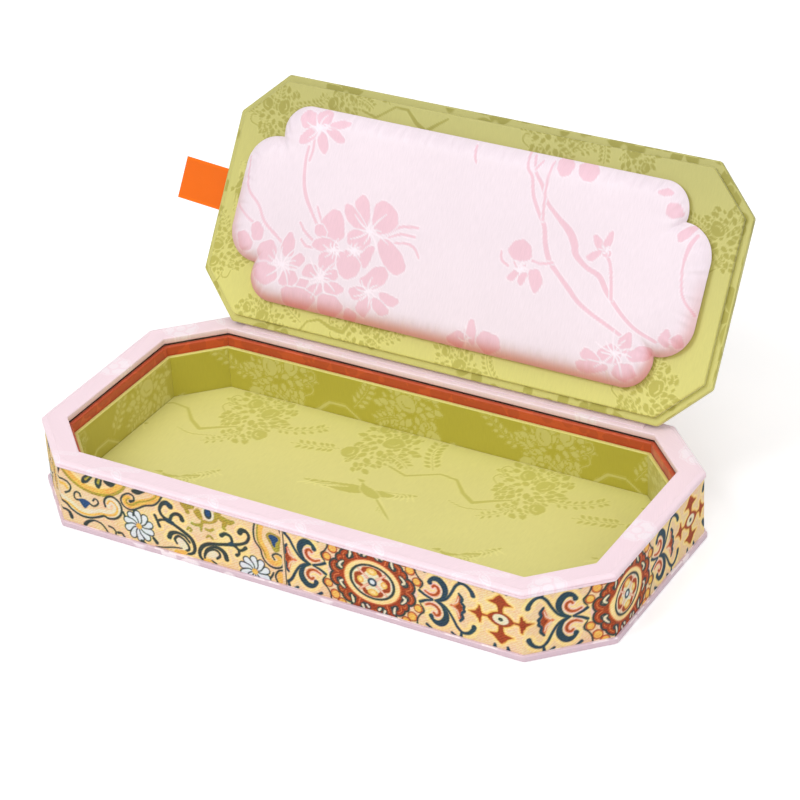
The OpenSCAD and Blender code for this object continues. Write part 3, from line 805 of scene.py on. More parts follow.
def sprig(c, at, text, leaves, size):
    """Stem through points (x, y) of a motif, with small leaves in pairs."""
    line = [at(u, v) for u, v in points_of(text, 2)]
    c.stroke("figure", [(u, v, 0.55) for u, v in line])
    path = curve_through([(u, v, 0) for u, v in line], 12)[:, :2]
    for k in range(leaves):
        i = int((k + 1) / (leaves + 1) * (len(path) - 2))
        way = path[i + 1] - path[i]
        way = way / max(np.hypot(*way), 1e-6)
        side = np.array([-way[1], way[0]])
        for s in (-1, 1):
            root = path[i] + s * 0.5 * side
            leaf(c, root, root + (0.8 * way + s * side) * size, size * 0.4)


def leaf_mass(c, at, size, turn, wide, high, count):
    """Oval mass of overlapping leaves, looser towards its edge."""
    for k in reversed(range(count)):
        a, r = 2.4 * k, 1.36 * math.sqrt(k) * (1 + 0.16 * math.sin(3 * 2.4 * k + turn))
        u, v, way = wide * r * math.cos(a), high * r * math.sin(a), a + 0.6 + 0.5 * math.sin(5 * k)
        long = 4.0 + 1.2 * math.sin(7 * k)
        leaf(c, at(u, v), at(u + long * math.cos(way), v + long * math.sin(way)), 0.36 * long * size)


def rose_spray(c, x, y, size=1.0, turn=0.0):
    """Spray of the green satin: three blossoms in a mass of small leaves, with side sprigs and two small hooks."""
    at = turned(x, y, size, turn)
    leaf_mass(c, at, size, turn, 0.85, 1.1, 104)
    for u, v, r in ((-4.5, 7.5, 3.6), (4.2, 3.8, 3.9), (8.5, -10.5, 3.6)):
        full_rose(c, at(u, v), r * size, turn + u)
    sprig(c, at, "11 -4  18 -3  25 1  29 5", 7, 2.4 * size)
    sprig(c, at, "2 9  4 14  4.5 20", 5, 2.4 * size)
    sprig(c, at, "1 -12  -3 -19  -9 -23", 5, 2.0 * size)
    for hook in ("-12 4 .6  -15 7 .7  -14 10 .7  -11.5 9.4 .6", "-12 -2 .6  -15 1 .7  -14 4 .7  -11.5 3.4 .6"):
        c.stroke("figure", placed(at, hook))
    c.stroke("figure", placed(at, "-22 -19 .5  -15 -20.5 .7  -6 -18 .5"))


def long_spray(c, x, y, size=1.0, turn=0.0):
    """Second spray of the green satin, that hangs from a crooked branch."""
    at = turned(x, y, size, turn)
    branch = ("1 -8 .6  10 -11 1.1  17 -13.5 1.2  28 -7 1  35 -8 1.3  41 -14.5 1.7  "
              "47 -18.5 1.9  53 -14.5 1.5  59 -11 .9")
    c.stroke("figure", placed(at, branch), smoothly=False)
    leaf_mass(c, at, size, turn + 1, 0.8, 1.15, 92)
    for u, v, r in ((2.5, 3.5, 4.3), (-9.5, -8, 3.9), (-5, 11, 3.1)):
        full_rose(c, at(u, v), r * size, turn + v)
    sprig(c, at, "-14 -8  -22 -10  -32 -12", 6, 2.6 * size)
    sprig(c, at, "6 -4  11 -6  15 -9", 4, 2.6 * size)
    sprig(c, at, "24 -6  19 3  18 12", 7, 2.8 * size)


BIRD_WINGS = lines_of("""
0 .6  -4 2.4  -12 .8  -24 -2  -17 -2.8  -8 -3.4  -2 -2.2 /
1 1  4 2.4  10 3.8  17.5 5.2  14 2.2  8 -.4  3 -1.4""", 2)
BIRD_BODY = points_of("-5 5.6  -2 3.4  2 2  6 -.8  5 -2.8  1 -2.2  -2.6 .4  -3.8 3.2", 2)


def flying_bird(c, x, y, size, turn):
    """Bird with spread wings, a long tail and a beak."""
    at = turned(x, y, size, turn)
    for wing in BIRD_WINGS:
        c.patch("figure", [at(*p) for p in wing])
        s, t = wing[3]
        for k in range(5):
            share = 0.3 + 0.14 * k
            u, v = wing[0] * (1 - share) + wing[3] * share
            c.stroke("edge", [(*at(u, v + 0.4), 0.3), (*at(0.6 * u + 0.4 * s, 0.5 * v + 0.5 * t - 1.6), 0.5),
                              (*at(u + 0.16 * s, v - 3.4), 0.4)])
    for k in range(6):
        c.stroke("figure", [(*at(4, -1.2), 1.0), (*at(8 + 0.9 * k, -4.4 - 0.9 * k), 1.1),
                            (*at(9 + 1.4 * k, -8.5 - 0.7 * k), 0.4)])
    c.patch("figure", [at(*p) for p in BIRD_BODY])
    c.stroke("figure", placed(at, "-4.6 5.2 2  -6.8 5.9 .4"), smoothly=False)


def green_cloth(places, sprays, hanging, birds):
    """Figure of the green satin: sprays, hanging sprays and birds at the given places (x, y, size, turn)."""
    c = Cloth(places, SATIN_THREADS, "ground", soft=0.4, outline=0.18)
    for motif, spots in ((rose_spray, sprays), (long_spray, hanging), (flying_bird, birds)):
        for spot in spots:
            motif(c, *spot)
    return c.colours


GREEN_REPEAT = 115


def repeated(*spots):
    """Each spot of a motif, with its repeats on both sides."""
    return [(x + shift, y, size, turn) for x, y, size, turn in spots for shift in (-GREEN_REPEAT, 0, GREEN_REPEAT)]


def floor_figure(places):
    """Figure of the floor cloth."""
    return green_cloth(
        places, repeated((48, 30.5, 1.0, 0.0), (-30, -41, 1.0, 2.6)), repeated((-13, 32.5, 1.0, 0.0)),
        repeated((-3.5, 4.0, 1.05, 0.0), (44, -19, 1.0, 0.5), (-77, -23, 0.9, 0.3)))


def plate_figure(places):
    """Figure of the lid's inner plate."""
    return green_cloth(
        places,
        [(-88, 31, 0.75, 0.4), (25, 42, 0.8, 0.2), (-33, -41, 0.8, 0.3), (82, -38, 0.85, 0.1), (96, 20, 0.8, 1.4),
         (-97, -22, 0.7, 2.0)],
        [(-60, 46, 0.7, 0.1), (58, 47, 0.7, 3.2), (8, -46, 0.7, 0.2), (-75, -46, 0.7, 0.5)],
        [(-97, 3, 0.5, 1.5)])


def wall_figure(places):
    """Figure of the tray walls; u runs round the tray."""
    starts = [GREEN_REPEAT * k for k in range(-1, 7)]
    return green_cloth(
        places, [(-30 + start, 9.5, 1.0, 0.2) for start in starts],
        [(27.6 + start, 9.5, 1.0, 0.1) for start in starts], [])


# Petals and branches of the cushion's figure; u to the right and v up, from its middle
PETALS = lines_of("""
-75 32  -73.5 35  -70 34  -68 31.5  -70 29.5  -73 29 /  -68.5 34.5  -66 36.3  -63.5 35.5  -63 32.5  -65 31
-67.5 32 /  -62 31.5  -58 33.5  -54.5 33.2  -57 31.6  -60 31 /  -63 29.5  -59 29.5  -55 26.5  -58 26.3  -61 28 /
-65.5 27.5  -63.5 27.5  -61.5 23  -62 21  -64 22.5  -65.5 25 /  -69.5 28.5  -71 27.5  -73 25  -73 23  -70.5 23.5
-68 26  -67.5 28 /  -44 6  -42 8.5  -39.5 6.5  -37.8 1  -37.5 -1.5  -40.5 1  -43.5 4 /  -35.5 1  -35.8 6  -33.5 8
-30 6.8  -27 4.5  -26 1  -28.5 -2  -32 -3.2  -34.5 -1.5 /  -47.8 4  -45.5 3.5  -40.5 -0.5  -38.2 -3  -42 -3
-45.5 -1  -47.5 1.8 /  -30.5 -5.5  -27 -6  -21.5 -9.5  -18.5 -14  -21.5 -16.5  -26 -14.5  -29.5 -10.5  -31 -7.5 /
-44 -6  -42 -4.5  -37 -4.6  -35.2 -7  -35.8 -10  -40 -10  -43.5 -9 /  -36.2 -12  -35 -9.8  -33 -9  -33.5 -13
-34.5 -16.5  -37 -16  -38 -13.5 /  -55 -2  -52.5 1  -50 0.6  -48 -2  -46.4 -7.5  -48.5 -9.5  -52.5 -8.8  -55 -6.5
-56 -4 /  -57.8 -6  -56 -5.5  -53.5 -8  -56 -9  -57.6 -8 /  -57 -11.5  -54 -10  -50 -10.5  -47.5 -12  -49 -14
-54 -14  -57.5 -13 /  -53.5 -16  -51 -14.5  -48 -15  -47.5 -18.5  -50 -21  -53 -19.5 /  -46 -14  -43 -12.5  -40 -14
-36.8 -16.5  -37.5 -20  -41 -22  -44 -20.5  -46 -17 /  -33 -20  -30.5 -16.5  -27 -15.5  -25 -17.5  -25.5 -20.5
-29 -23  -32.5 -23.5  -35 -21.5 /  -38.5 -26  -35 -24.5  -31 -25  -33 -28  -36 -28.5 /  -26 -24.5  -22 -25  -18 -26
-20 -28  -24 -27 /  -28 -27  -25 -28  -21 -30.5  -24 -32  -27 -30 /  -33 -29  -30 -27  -29 -31  -31 -34  -34 -32 /
-58 -21  -55 -20.5  -53.5 -23  -56 -25  -59 -24 /  -49 -21.5  -46 -20.5  -45 -22.5  -47 -24.5  -49.5 -24 /  -49 -26
-45 -25  -41 -26.5  -44 -28.5  -48 -28 /  -54 -28  -51 -26.5  -50 -29  -53 -31  -56 -30 /  -60 -27  -56.5 -26
-57 -28.5  -60 -29.5 /  -79 -17  -75 -15  -72.5 -18  -73 -22  -78 -22.5  -80 -20 /  -69.5 -14  -68 -10.5  -66 -13
-65.5 -18  -68 -19  -70 -17 /  -64.5 -20  -62 -17.5  -60 -19  -62 -22  -65 -22.5 /  -80 -25  -76 -23.5  -71.5 -24
-70 -28  -74 -31  -79 -29 /  -67 -25  -63 -24.5  -61 -27  -64 -30  -68 -29 /  -90 -15  -87 -14  -83.5 -17  -84 -19.5
-88 -20 /  -84.5 -11  -82.5 -9.5  -80 -12  -80 -15  -83 -15.5 /  -66 -31  -58 -30  -52 -32  -56 -36.5  -65 -36 /
-50 -30.5  -44 -30  -40 -33  -44 -36.5  -50 -36 /  -38 -33  -34 -34.5  -36 -37  -39 -36.5 /  51.5 12.5  54 11
57 9.5  58.5 7  56.5 6.8  54 8.5  52.5 10 /  55.5 10  57.5 15  57.8 12  57.3 10 /  50.5 4.5  52 6  55 7.5  54 6
52.5 4.2 /  20.5 1  22 4  25 5.2  28 3.5  29 0  26 -1.5  22.5 -1 /  30 -5  33 -4  35.5 -7.5  34 -11.5  32 -9 /
27 -6.5  29 -6  28 -9.8  27 -9 /  22.5 -8.5  25 -5.5  25.5 -6.5  24 -9 /  31 36.5  31.5 33  33.5 30.8  36 32
36.5 35  34 37 /  39 36  40 33  42.5 31  45.5 31.5  46.5 34.5  44 37 /  76 28.5  79 29  81 26  78 24.5  76 25.5 /
82 19  84.5 22  87 23  85.5 19.5  83 17 /  71 32  74 33.5  76 32.5  73 31.6 /  70 -21  73 -18  74 -22  73 -25
70.5 -24.5 /  63 -27  67 -23.5  71 -25.5  71 -29  65 -29 /  74 -25.5  78 -22  81.5 -22  80.5 -25.5  76 -27 /  58 -27
61 -28  64 -30  60 -31  57 -29 /  56 -32  62 -31  68 -31.5  62 -34  57 -34 /  71 -30  76 -29  78 -32  74 -34.5
70 -33 /  84 -18  86 -14  88 -17  87 -19.5 /  88.5 -17  91 -15  92 -18  90 -19 /  11 -31  12.5 -26  14.5 -30  15 -34
12 -34 /  4 -35  8 -31.5  12 -33  9 -36.5 /  16 -33  18 -29.5  24 -30.5  25 -34  20 -36.5""", 2)
TWIGS = lines_of("""
-69 22 1  -69 17 1.1  -67.5 9 1.3  -65 3.5 1.4  -62 -.5 1.2  -57.5 -6 1 /  -67.4 25 .9  -67 21 1  -67.4 17 .9 /
-93 14 .8  -92 8 .9  -90 2 1  -84 -3 1  -80 -8.5 1.1  -74 -12.5 1  -70 -15 .9 /  -94 -4 .8  -88 -8 .9  -84 -10 .9 /
-29 -3.5 .6  -24 .5 1  -17 1.5 .9 /  -28 -4.2 .6  -23 -2 1  -17.5 -2 .9 /  -26 -5.8 .6  -20 -5 .9  -16.5 -6 .9
-14 -9 .7 /  -65 -6 .8  -62 -9 1  -57 -12 .9 /  -63 -12 .8  -60 -14 1  -56 -13.5 .9 /  -59.5 1 .7  -57 -3 .9
-55.5 -5.5 .9 /  18.5 37 .9  20 31 1.1  22.5 28 1.1  24.5 22 1.3  28 16.5 1.3  31.5 12 1.6  33.5 6 1.8  36.5 .5 1.9
41 -3.5 1.5  46 -7.5 1.7  51 -11.5 1.5  57 -14.5 1.3  66 -18 1.2  72 -20.5 1 /  21 36 .9  23.5 30 1.1  27 26 1.4
30.5 20.5 1.3  36 16 1.6  41.5 12 2.6  44.5 8 2.8  46 4.5 2.2  51 1 1.6  56.5 -1 1.8  60 -5 1.8  63 -8 1.4
69 -13 1.2  75 -16.5 1.1  83 -19 1 /  29 35 .8  28.5 28 .9  29.5 19 1  30.5 14 1 /  25 34.5 .8  23 31 .9 /  57 7 1
59.5 4 1.1  61.5 -2 1.1  63 -8 1.1 /  17.5 0 .7  18.5 -3 .9  21.5 -4.5 .8 /  30 -1 .7  34 -1.2 .9  38 0 .9 /
-2.5 35 .9  -1.5 31 1  -.5 29 .7 /  88.5 20 1.2  87 16 1.6  86.3 10 1.1  87 4 .9  89 -2 .9  94 -7 .8 /  23 -2 .6
25 -4.5 .5  28 -3 .5 /  -36.5 -4 .5  -35.5 -7 .5  -34 -12 .4""")
# Middle, first angle, number and length of the stamens and veins of each blossom
STAMENS = (
    (-36, -3.5, -20, 9, 9), (-40.5, -11.5, 0, 9, 4), (-68.5, -22.5, 0, 11, 9), (-51.5, -24, 30, 11, 9),
    (-31, -25, 10, 9, 7), (69, -26, 0, 11, 9), (-66.5, 29.5, 0, 9, 6), (26.5, -4.5, 0, 8, 3), (11.5, -34, 30, 5, 6),
    (-49, -13, 0, 9, 5), (57, 8.3, 0, 5, 2.5))
CORNER_CUT = 0.14  # share of a side that a petal's corner loses


def cut_corners(points):
    """Closed line with a share of each side cut off at its corners."""
    cut = CORNER_CUT * (np.roll(points, -1, 0) - points)
    return np.stack([points + cut, np.roll(points, -1, 0) - cut], 1).reshape(-1, 2)


def cushion_figure(places):
    """Cherry branches of the cushion satin."""
    c = Cloth(places, SATIN_THREADS, "ground", soft=0.4, outline=0.25)
    c.strokes("figure", TWIGS, 0.3)
    for petal in PETALS:
        c.patch("figure", cut_corners(petal), smoothly=False, grow=0.85)
    for x, y, start, rays, far in STAMENS:
        middle = np.array([x, y])
        for k in range(rays):
            a = math.radians(start + 360 * k / rays + 9 * math.sin(5 * k))
            long = far * (0.75 + 0.25 * math.sin(3 * k + x))
            way, side = np.array([math.cos(a), math.sin(a)]), np.array([-math.sin(a), math.cos(a)])
            c.stroke("edge", [(x, y, 0.4), (*(middle + way * long * 0.5 + side * 0.5), 0.45),
                              (*(middle + way * long), 0.2)])
    return c.colours


def rim_figure(places):
    """Faint blossoms and stems of the pink satin on the rim."""
    c = Cloth(places, SATIN_THREADS, "ground", soft=0.6)
    for x, y, r in points_of("108 44 7  109 -8 6  -111 6 6  -104 40 6  98 -50 6  -55 53.5 5.5  62 53 6"):
        blossom(c, (x, y), r, 5, x)
    for x in (-96, -70, -30, 5, 35, 75):
        for y in (53, -53):
            c.stroke("figure", [(x - 8, y - 4, 0.6), (x - 2, y, 0.9), (x + 8, y + 3, 0.8)])
            leaf(c, (x, y), (x + 5, y - 3.5), 1.3)
    return c.colours


# Sizes and colours that a user would change


class BoxThreads(PropertyGroup):
    peach: colour("Ground", "efcfa2", "Ground of the brocade")
    navy: colour("Navy", "2d4653", "Scrolls of the brocade")
    ink: colour("Ink", "38433f", "Outlines of the brocade")
    rust: colour("Rust", "a14424", "Wheels and crosses of the brocade")
    coral: colour("Coral", "dc7c48", "Inner curls of the brocade")
    gold: colour("Gold", "eebc5c", "Gold thread of the brocade")
    yellow: colour("Yellow", "f8da98", "Pale gold thread round the figures")
    pink: colour("Pale pink", "f0cfbc", "Pale pink thread of the brocade")
    white: colour("White", "e2e7ea", "Daisies of the brocade")
    olive: colour("Olive", "b09c3e", "Olive thread of the brocade")
    blue: colour("Blue", "2a4c78", "Blue buds of the brocade")
    cream: colour("Cream", "ebdfbf", "Cream thread of the brocade")


class BoxSatins(PropertyGroup):
    rim: colour("Rim satin", "f4dbe3", "Pink satin of the rim")
    rim_figure: colour("Rim figure", "f7e8ee", "Woven figure of the rim satin")
    cushion: colour("Cushion satin", "e9dae2", "Pink satin of the lid cushion")
    cushion_figure: colour("Cushion figure", "e9c2ce", "Woven figure of the cushion")
    floor: colour("Floor satin", "d9d380", "Green satin of the tray floor")
    floor_figure: colour("Floor figure", "c1bb56", "Woven figure of the floor")
    # painted sheen and shade: the floor's green satin, painted with a darker ground and a lighter figure for the
    # upright tray walls
    wall: colour("Tray wall satin", "b6ad38", "Green satin of the tray walls")
    wall_figure: colour("Tray wall figure", "ccc670", "Woven figure of the tray walls")
    lid: colour("Lid satin", "c2bc69", "Green satin of the lid")
    lid_figure: colour("Lid figure", "a9a24a", "Woven figure of the lid satin")
    liner: colour("Liner satin", "c8501f", "Rust satin of the liner boards")
    liner_figure: colour("Liner figure", "ba481a", "Woven figure of the liner satin")
    ribbon: colour("Ribbon", "f06c08", "Orange ribbon of the pull")
    # painted shade: the pink satin, painted darker on the bottom board, whose edge lies in shade under the brocade
    base: colour("Bottom board satin", "dcc2ce", "Pink satin of the bottom board")
    board: colour("Board", "b9aa8e", "Grey board and card inside the cloth")


class BoxPadding(PropertyGroup):
    thread_pitch: length("Brocade point pitch", 0.0003, "Spacing of the points that carry the thread colours")
    figure_pitch: length("Figure point pitch", 0.0005, "Spacing of the points that carry the satin's figure")
    cushion_rise: length("Cushion rise", 0.0042, "Height of the cushion's crown over its card")
    top_rise: length("Top rise", 0.0034, "Height of the padded top over the lid board")
    pucker: length("Pucker", 0.00018, "Depth of the small pulls along padded edges")


def threads_of(context):
    return {name: tuple(getattr(context.scene.box_threads, name)) for name in BoxThreads.__annotations__}


def figure_pitch(context):
    """Spacing of the points that carry a satin's figure, in millimetres."""
    return context.scene.box_padding.figure_pitch * 1000


class BOX_OT_materials(Operator):
    """Make the cloths, the ribbon and the grey board"""
    bl_idname = "box.materials"
    bl_label = "Make Materials"

    def execute(self, context):
        tint = context.scene.box_satins
        build_satin_weave()
        build_brocade_weave()
        build_blossom_figure()
        satin("Rim satin", tint.rim, tint.rim_figure, gloss=(0.4, 0.5))
        # painted shade: the bottom board's pink satin is painted darker
        satin("Board satin", tint.base, tint.rim_figure, "board", "scattered", gloss=(0.4, 0.5), pitch=0.03)
        satin("Cushion satin", tint.cushion, tint.cushion_figure, relief=0.06)
        satin("Floor satin", tint.floor, tint.floor_figure, gloss=(0.45, 0.62))
        # painted sheen and shade: the walls' copy of the floor's green satin
        satin("Wall satin", tint.wall, tint.wall_figure)
        # painted light on the lid: lighter towards the open lid's lower end, darker towards its top
        satin("Lid satin", tint.lid, tint.lid_figure, painted_light=(1.3, 0.8))
        satin("Lid edge satin", tint.lid, tint.lid_figure, "board", "scattered", pitch=0.02, painted_light=(1.22, 0.78),
              middle=0.067)
        satin("Liner satin", tint.liner, tint.liner_figure, "uv", "scattered", gloss=(0.38, 0.5), pitch=0.017, size=0.6)
        brocade("Brocade")
        ribbon_weave("Ribbon weave", tint.ribbon)
        paper_board("Grey board", tint.board)
        return {"FINISHED"}


# Looks of the boards that keep their shape, by the start of their names
BOARD_LOOKS = {
    "base_board": "Board satin", "wall_": "Grey board", "floor_card": "Grey board", "lid_board": "Lid edge satin",
    "lid_inner_plate": "Lid edge satin", "cushion_card": "Grey board"}


class BOX_OT_boards(Operator):
    """Dress the boards that keep their shape"""
    bl_idname = "box.boards"
    bl_label = "Dress Boards"

    def execute(self, context):
        for name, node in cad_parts.items():
            for start, look in BOARD_LOOKS.items():
                if name.startswith(start):
                    node.data.materials.clear()
                    node.data.materials.append(bpy.data.materials[look])
        return {"FINISHED"}


class BOX_OT_brocade(Operator):
    """Wrap the two brocade strips round the outer wall"""
    bl_idname = "box.brocade"
    bl_label = "Make Brocade Strips"

    def execute(self, context):
        pitch = context.scene.box_padding.thread_pitch * 1000
        places, ways, runs = outline(BROCADE_STEP, pitch)
        total, runs = runs[-1], runs[:-1]
        front = HALF_L - CORNER_LEG - BROCADE_STEP
        seams = []
        for side in (-1, 1):
            on = np.flatnonzero(np.abs(ways[:, 1] - side) < 1e-6)
            seams.append(on[np.argmin(np.abs(places[on, 0] - SEAM_X))])
        front_seam, back_seam = seams
        right = np.arange(front_seam + 1, back_seam)
        left = np.r_[np.arange(back_seam + 1, len(places)), np.arange(0, front_seam)]
        heights = np.linspace(BASE_T + SKIN, RIM_Z - SKIN, round((RIM_Z - BASE_T) / pitch))
        for name, node, picks, paint, origin in (
                ("brocade_right", "brocade_strip_right", right, wheel_cloth, WHEEL_ORIGIN),
                ("brocade_left", "brocade_strip_left", left, cloud_cloth, (0.0, 0.0))):
            p, w, run = places[picks], ways[picks], runs[picks].copy()
            if name == "brocade_left":
                run[run > total / 2] -= total
            u, z = np.meshgrid(run - runs[front_seam] + SEAM_X + front, heights)
            rgb = paint(np.c_[u.ravel(), z.ravel()] - origin, threads_of(context)).reshape(*u.shape, 3)
            # the cloth's slight waves over the wall
            swell = 0.03 * np.sin(u / 7.3) * np.sin(z / 5.1 + u / 19) - 0.05
            face = np.stack([p[None, :, 0] + swell * w[None, :, 0], p[None, :, 1] + swell * w[None, :, 1], z], -1)
            back = p - (BROCADE_T - SKIN) * w
            low, high = (np.c_[back, np.full(len(p), height)][None] for height in heights[[0, -1]])
            flat = np.stack([u, z], -1)
            piece = sheet_mesh(name, np.concatenate([low, face, high]), np.concatenate([flat[:1], flat, flat[-1:]]))
            thread_colours(piece, np.concatenate([rgb[:1], rgb, rgb[-1:]]).reshape(-1, 3))
            finish_piece(piece, "Brocade", "box", "brocade", node)
        return {"FINISHED"}


class BOX_OT_rim(Operator):
    """Wrap the rim frame in satin, rounded at its corners"""
    bl_idname = "box.rim"
    bl_label = "Make Rim Frame"

    def execute(self, context):
        pitch = figure_pitch(context)
        edge, shoulder, drop, inner_r = 0.5, 1.7, 1.1, 0.5
        curve = np.radians(np.linspace(0, 90, 8))
        groove = ((0.2, 0.0), (0.0, 0.2), (0.0, 0.75), (0.35, 1.0), (0.05, 1.2))
        ridge = ((0.12, 0.09), (0.35, 0.1), (0.55, 0.0))
        path = [(RIM_STEP + s, RIM_Z + z) for s, z in groove]
        path += rounded(RIM_STEP, RIM_TOP, shoulder, drop, curve)
        path += [(RIM_STEP + shoulder + s, RIM_TOP + z) for s, z in ridge]
        flat_top = np.arange(RIM_STEP + shoulder + 0.8, RIM_INNER_STEP - edge - pitch / 2, pitch)
        path += [(s, RIM_TOP) for s in flat_top]
        path += rounded(RIM_INNER_STEP, RIM_TOP, -edge, edge, curve[::-1])
        path += [(RIM_INNER_STEP, RIM_Z + 0.3), (RIM_INNER_STEP - 0.2, RIM_Z)]
        grid, cloth, down = [], [], 0.0
        for k, (step, z) in enumerate(path):
            down += math.dist((step, z), path[k - 1]) if k else 0.0
            radius = np.interp(step, (RIM_STEP, RIM_INNER_STEP), (CORNER_R, inner_r))
            places, _, runs = outline(step, pitch, radius)
            grid.append(np.c_[places, np.full(len(places), z)])
            cloth.append(np.c_[runs, np.full(len(runs), down)])
        grid.append(grid[0])
        cloth.append(cloth[0] + [0, down])
        grid, cloth = np.array(grid)[::-1], np.array(cloth)[::-1]
        piece = sheet_mesh("rim_wrap", grid, cloth, around=True, smooth=50)
        point_values(piece, "figure", rim_figure(grid.reshape(-1, 3)[:, :2]))
        finish_piece(piece, "Rim satin", "box", "pink_satin", "rim_frame")
        return {"FINISHED"}


SIDES = ("front", "front_right", "right", "back_right", "back", "back_left", "left", "front_left")
MITRE_GAP, LINER_PITCH = 0.03, 1.0
TOP_HIGHLIGHT_WIDTH = 0.4  # width of the painted highlight, a pale line, along the top of the tray walls


def board_cover(name, side, outer, inner, high, pitch, edge=0.45):
    """Mitred board wrapped in satin, with a soft top edge; returns the piece and its points' places on the cloth."""
    low = BASE_T + SKIN
    curve = np.radians(np.linspace(0, 90, 4))
    path = [(outer, low), (outer, high - edge)]
    path += rounded(outer, high, edge, edge, curve[1:]) + rounded(inner, high, -edge, edge, curve[::-1])
    path += [(inner, z) for z in np.linspace(high - edge, low, round((high - low) / pitch))[1:]]
    corners, start = octagon(inner), 0.0
    for k in range(side):
        start += math.dist(corners[k], corners[k + 1])
    ends = [side, (side + 1) % 8]
    long = math.dist(*corners[ends])
    share = np.linspace(0, 1, round(long / pitch) + 1)[:, None]
    grid, flat = [], []
    for step, z in path:
        a, b = octagon(step)[ends]
        inset = (b - a) / np.hypot(*(b - a)) * MITRE_GAP
        grid.append(np.c_[a + inset + (b - a - 2 * inset) * share, np.full(len(share), z)])
        flat.append(np.c_[start + long * share, np.full(len(share), z - (step - inner))])
    grid, flat = np.array(grid).transpose(1, 0, 2), np.array(flat).transpose(1, 0, 2)
    around = np.concatenate([flat, flat[:, :1]], 1)
    return sheet_mesh(name, grid, around, around=True, caps=("first", "last"), smooth=50), flat.reshape(-1, 2)


class BOX_OT_tray(Operator):
    """Wrap the liner and tray boards in satin"""
    bl_idname = "box.tray"
    bl_label = "Wrap Tray and Liner"

    def execute(self, context):
        pitch = figure_pitch(context)
        for side, way in enumerate(SIDES):
            piece, places = board_cover(f"tray_{way}_cover", side, TRAY_STEP, TRAY_STEP + TRAY_T, TRAY_TOP, pitch)
            figure = wall_figure(places - [0, BASE_T])
            # painted highlight: the walls' top edge gets the pale edge colour
            figure[places[:, 1] > TRAY_TOP - TOP_HIGHLIGHT_WIDTH] = SATIN_THREADS["edge"]
            point_values(piece, "figure", figure)
            finish_piece(piece, "Wall satin", "box", "green_satin", f"tray_{way}")
            piece, _ = board_cover(
                f"liner_{way}_cover", side, LINER_STEP - LINER_T, LINER_STEP, RIM_Z - LINER_DROP, LINER_PITCH)
            finish_piece(piece, "Liner satin", "box", "rust_brocade", f"liner_{way}")
        return {"FINISHED"}


class BOX_OT_floor(Operator):
    """Lay the wadded floor cloth in the tray"""
    bl_idname = "box.floor"
    bl_label = "Make Floor Cloth"

    def execute(self, context):
        pitch = figure_pitch(context)
        half_l, half_w = HALF_L - FLOOR_STEP, HALF_W - FLOOR_STEP
        leg = CORNER_LEG - FLOOR_STEP * (2 - math.sqrt(2))
        x = np.arange(-half_l, half_l + pitch / 2, pitch)
        x[0], x[-1] = -half_l, half_l
        y = np.linspace(-1, 1, round(2 * half_w / pitch) + 1)
        reach = np.minimum(half_w, half_w - leg + half_l - np.abs(x))
        u = np.broadcast_to(x[None, :], (len(y), len(x)))
        v = y[:, None] * reach[None, :]
        from_end, from_side = half_l - np.abs(u), half_w - np.abs(v)
        edge = np.minimum.reduce([from_end, from_side, (from_end + half_w - np.abs(v) - leg) / math.sqrt(2)])
        # the wadding's soft edge, and its slight waves
        z = PAD_TOP - 0.25 * np.exp(-np.maximum(edge, 0) / 0.8)
        z = z + 0.05 * np.sin(u / 11) * np.sin(v / 7.0 + u / 23) * np.minimum(edge / 6, 1)
        low, top, flat = (np.stack(parts, -1) for parts in ((u, v, np.full_like(u, PAD_Z)), (u, v, z), (u, v)))
        piece = sheet_mesh("floor_cloth", np.concatenate([low[:1], top, low[-1:]]),
                           np.concatenate([flat[:1], flat, flat[-1:]]))
        figure = floor_figure(flat.reshape(-1, 2)).reshape(u.shape)
        point_values(piece, "figure", np.concatenate([figure[:1], figure, figure[-1:]]))
        finish_piece(piece, "Floor satin", "box", "green_satin", "floor_pad")
        return {"FINISHED"}


def looking_in(grid):
    """Flat places of a ring-shaped piece on the lid's inner side."""
    flat = np.array(grid)[..., :2] * [1, -1]
    return np.concatenate([flat, flat[:, :1]], 1)


def cushion_border(pitch):
    """Scalloped outline of the cushion, evenly spaced, and its four cusps."""
    (cx, cy), (ex, ey) = LOBE_C, END_C
    gap, way = math.hypot(cx - ex, cy - ey), math.atan2(cy - ey, cx - ex)
    a = math.acos((gap**2 + END_R**2 - LOBE_R**2) / (2 * gap * END_R))
    b = math.acos((gap**2 + LOBE_R**2 - END_R**2) / (2 * gap * LOBE_R))
    end = [(ex + END_R * math.cos(t), ey + END_R * math.sin(t)) for t in np.linspace(0, way - a, 30)]
    lobe_turns = np.linspace(way - math.pi + b, math.pi / 2, 30)[1:]
    lobe = [(cx + LOBE_R * math.cos(t), cy + LOBE_R * math.sin(t)) for t in lobe_turns]
    quarter = np.array([(ex + END_R, 0.0), *end, *lobe])
    loop = np.concatenate([quarter, (quarter * [-1, 1])[::-1], quarter * [-1, -1], (quarter * [1, -1])[::-1]])
    loop = loop[np.hypot(*(loop - np.roll(loop, -1, 0)).T) > 1e-6]
    closed = np.vstack([loop, loop[:1]])
    runs = np.r_[0, np.cumsum(np.hypot(*np.diff(closed, axis=0).T))]
    at = np.linspace(0, runs[-1], round(runs[-1] / pitch), endpoint=False)
    cusps = np.array([end[-1]]) * [(1, 1), (-1, 1), (-1, -1), (1, -1)]
    return np.c_[np.interp(at, runs, closed[:, 0]), np.interp(at, runs, closed[:, 1])], cusps


CUSHION_SIDE = 1.2  # height of the cushion's upright side
PAINTED_SHADE_DEPTH = 3.4  # how far in from the border the painted shade on the cushion's lower edge reaches
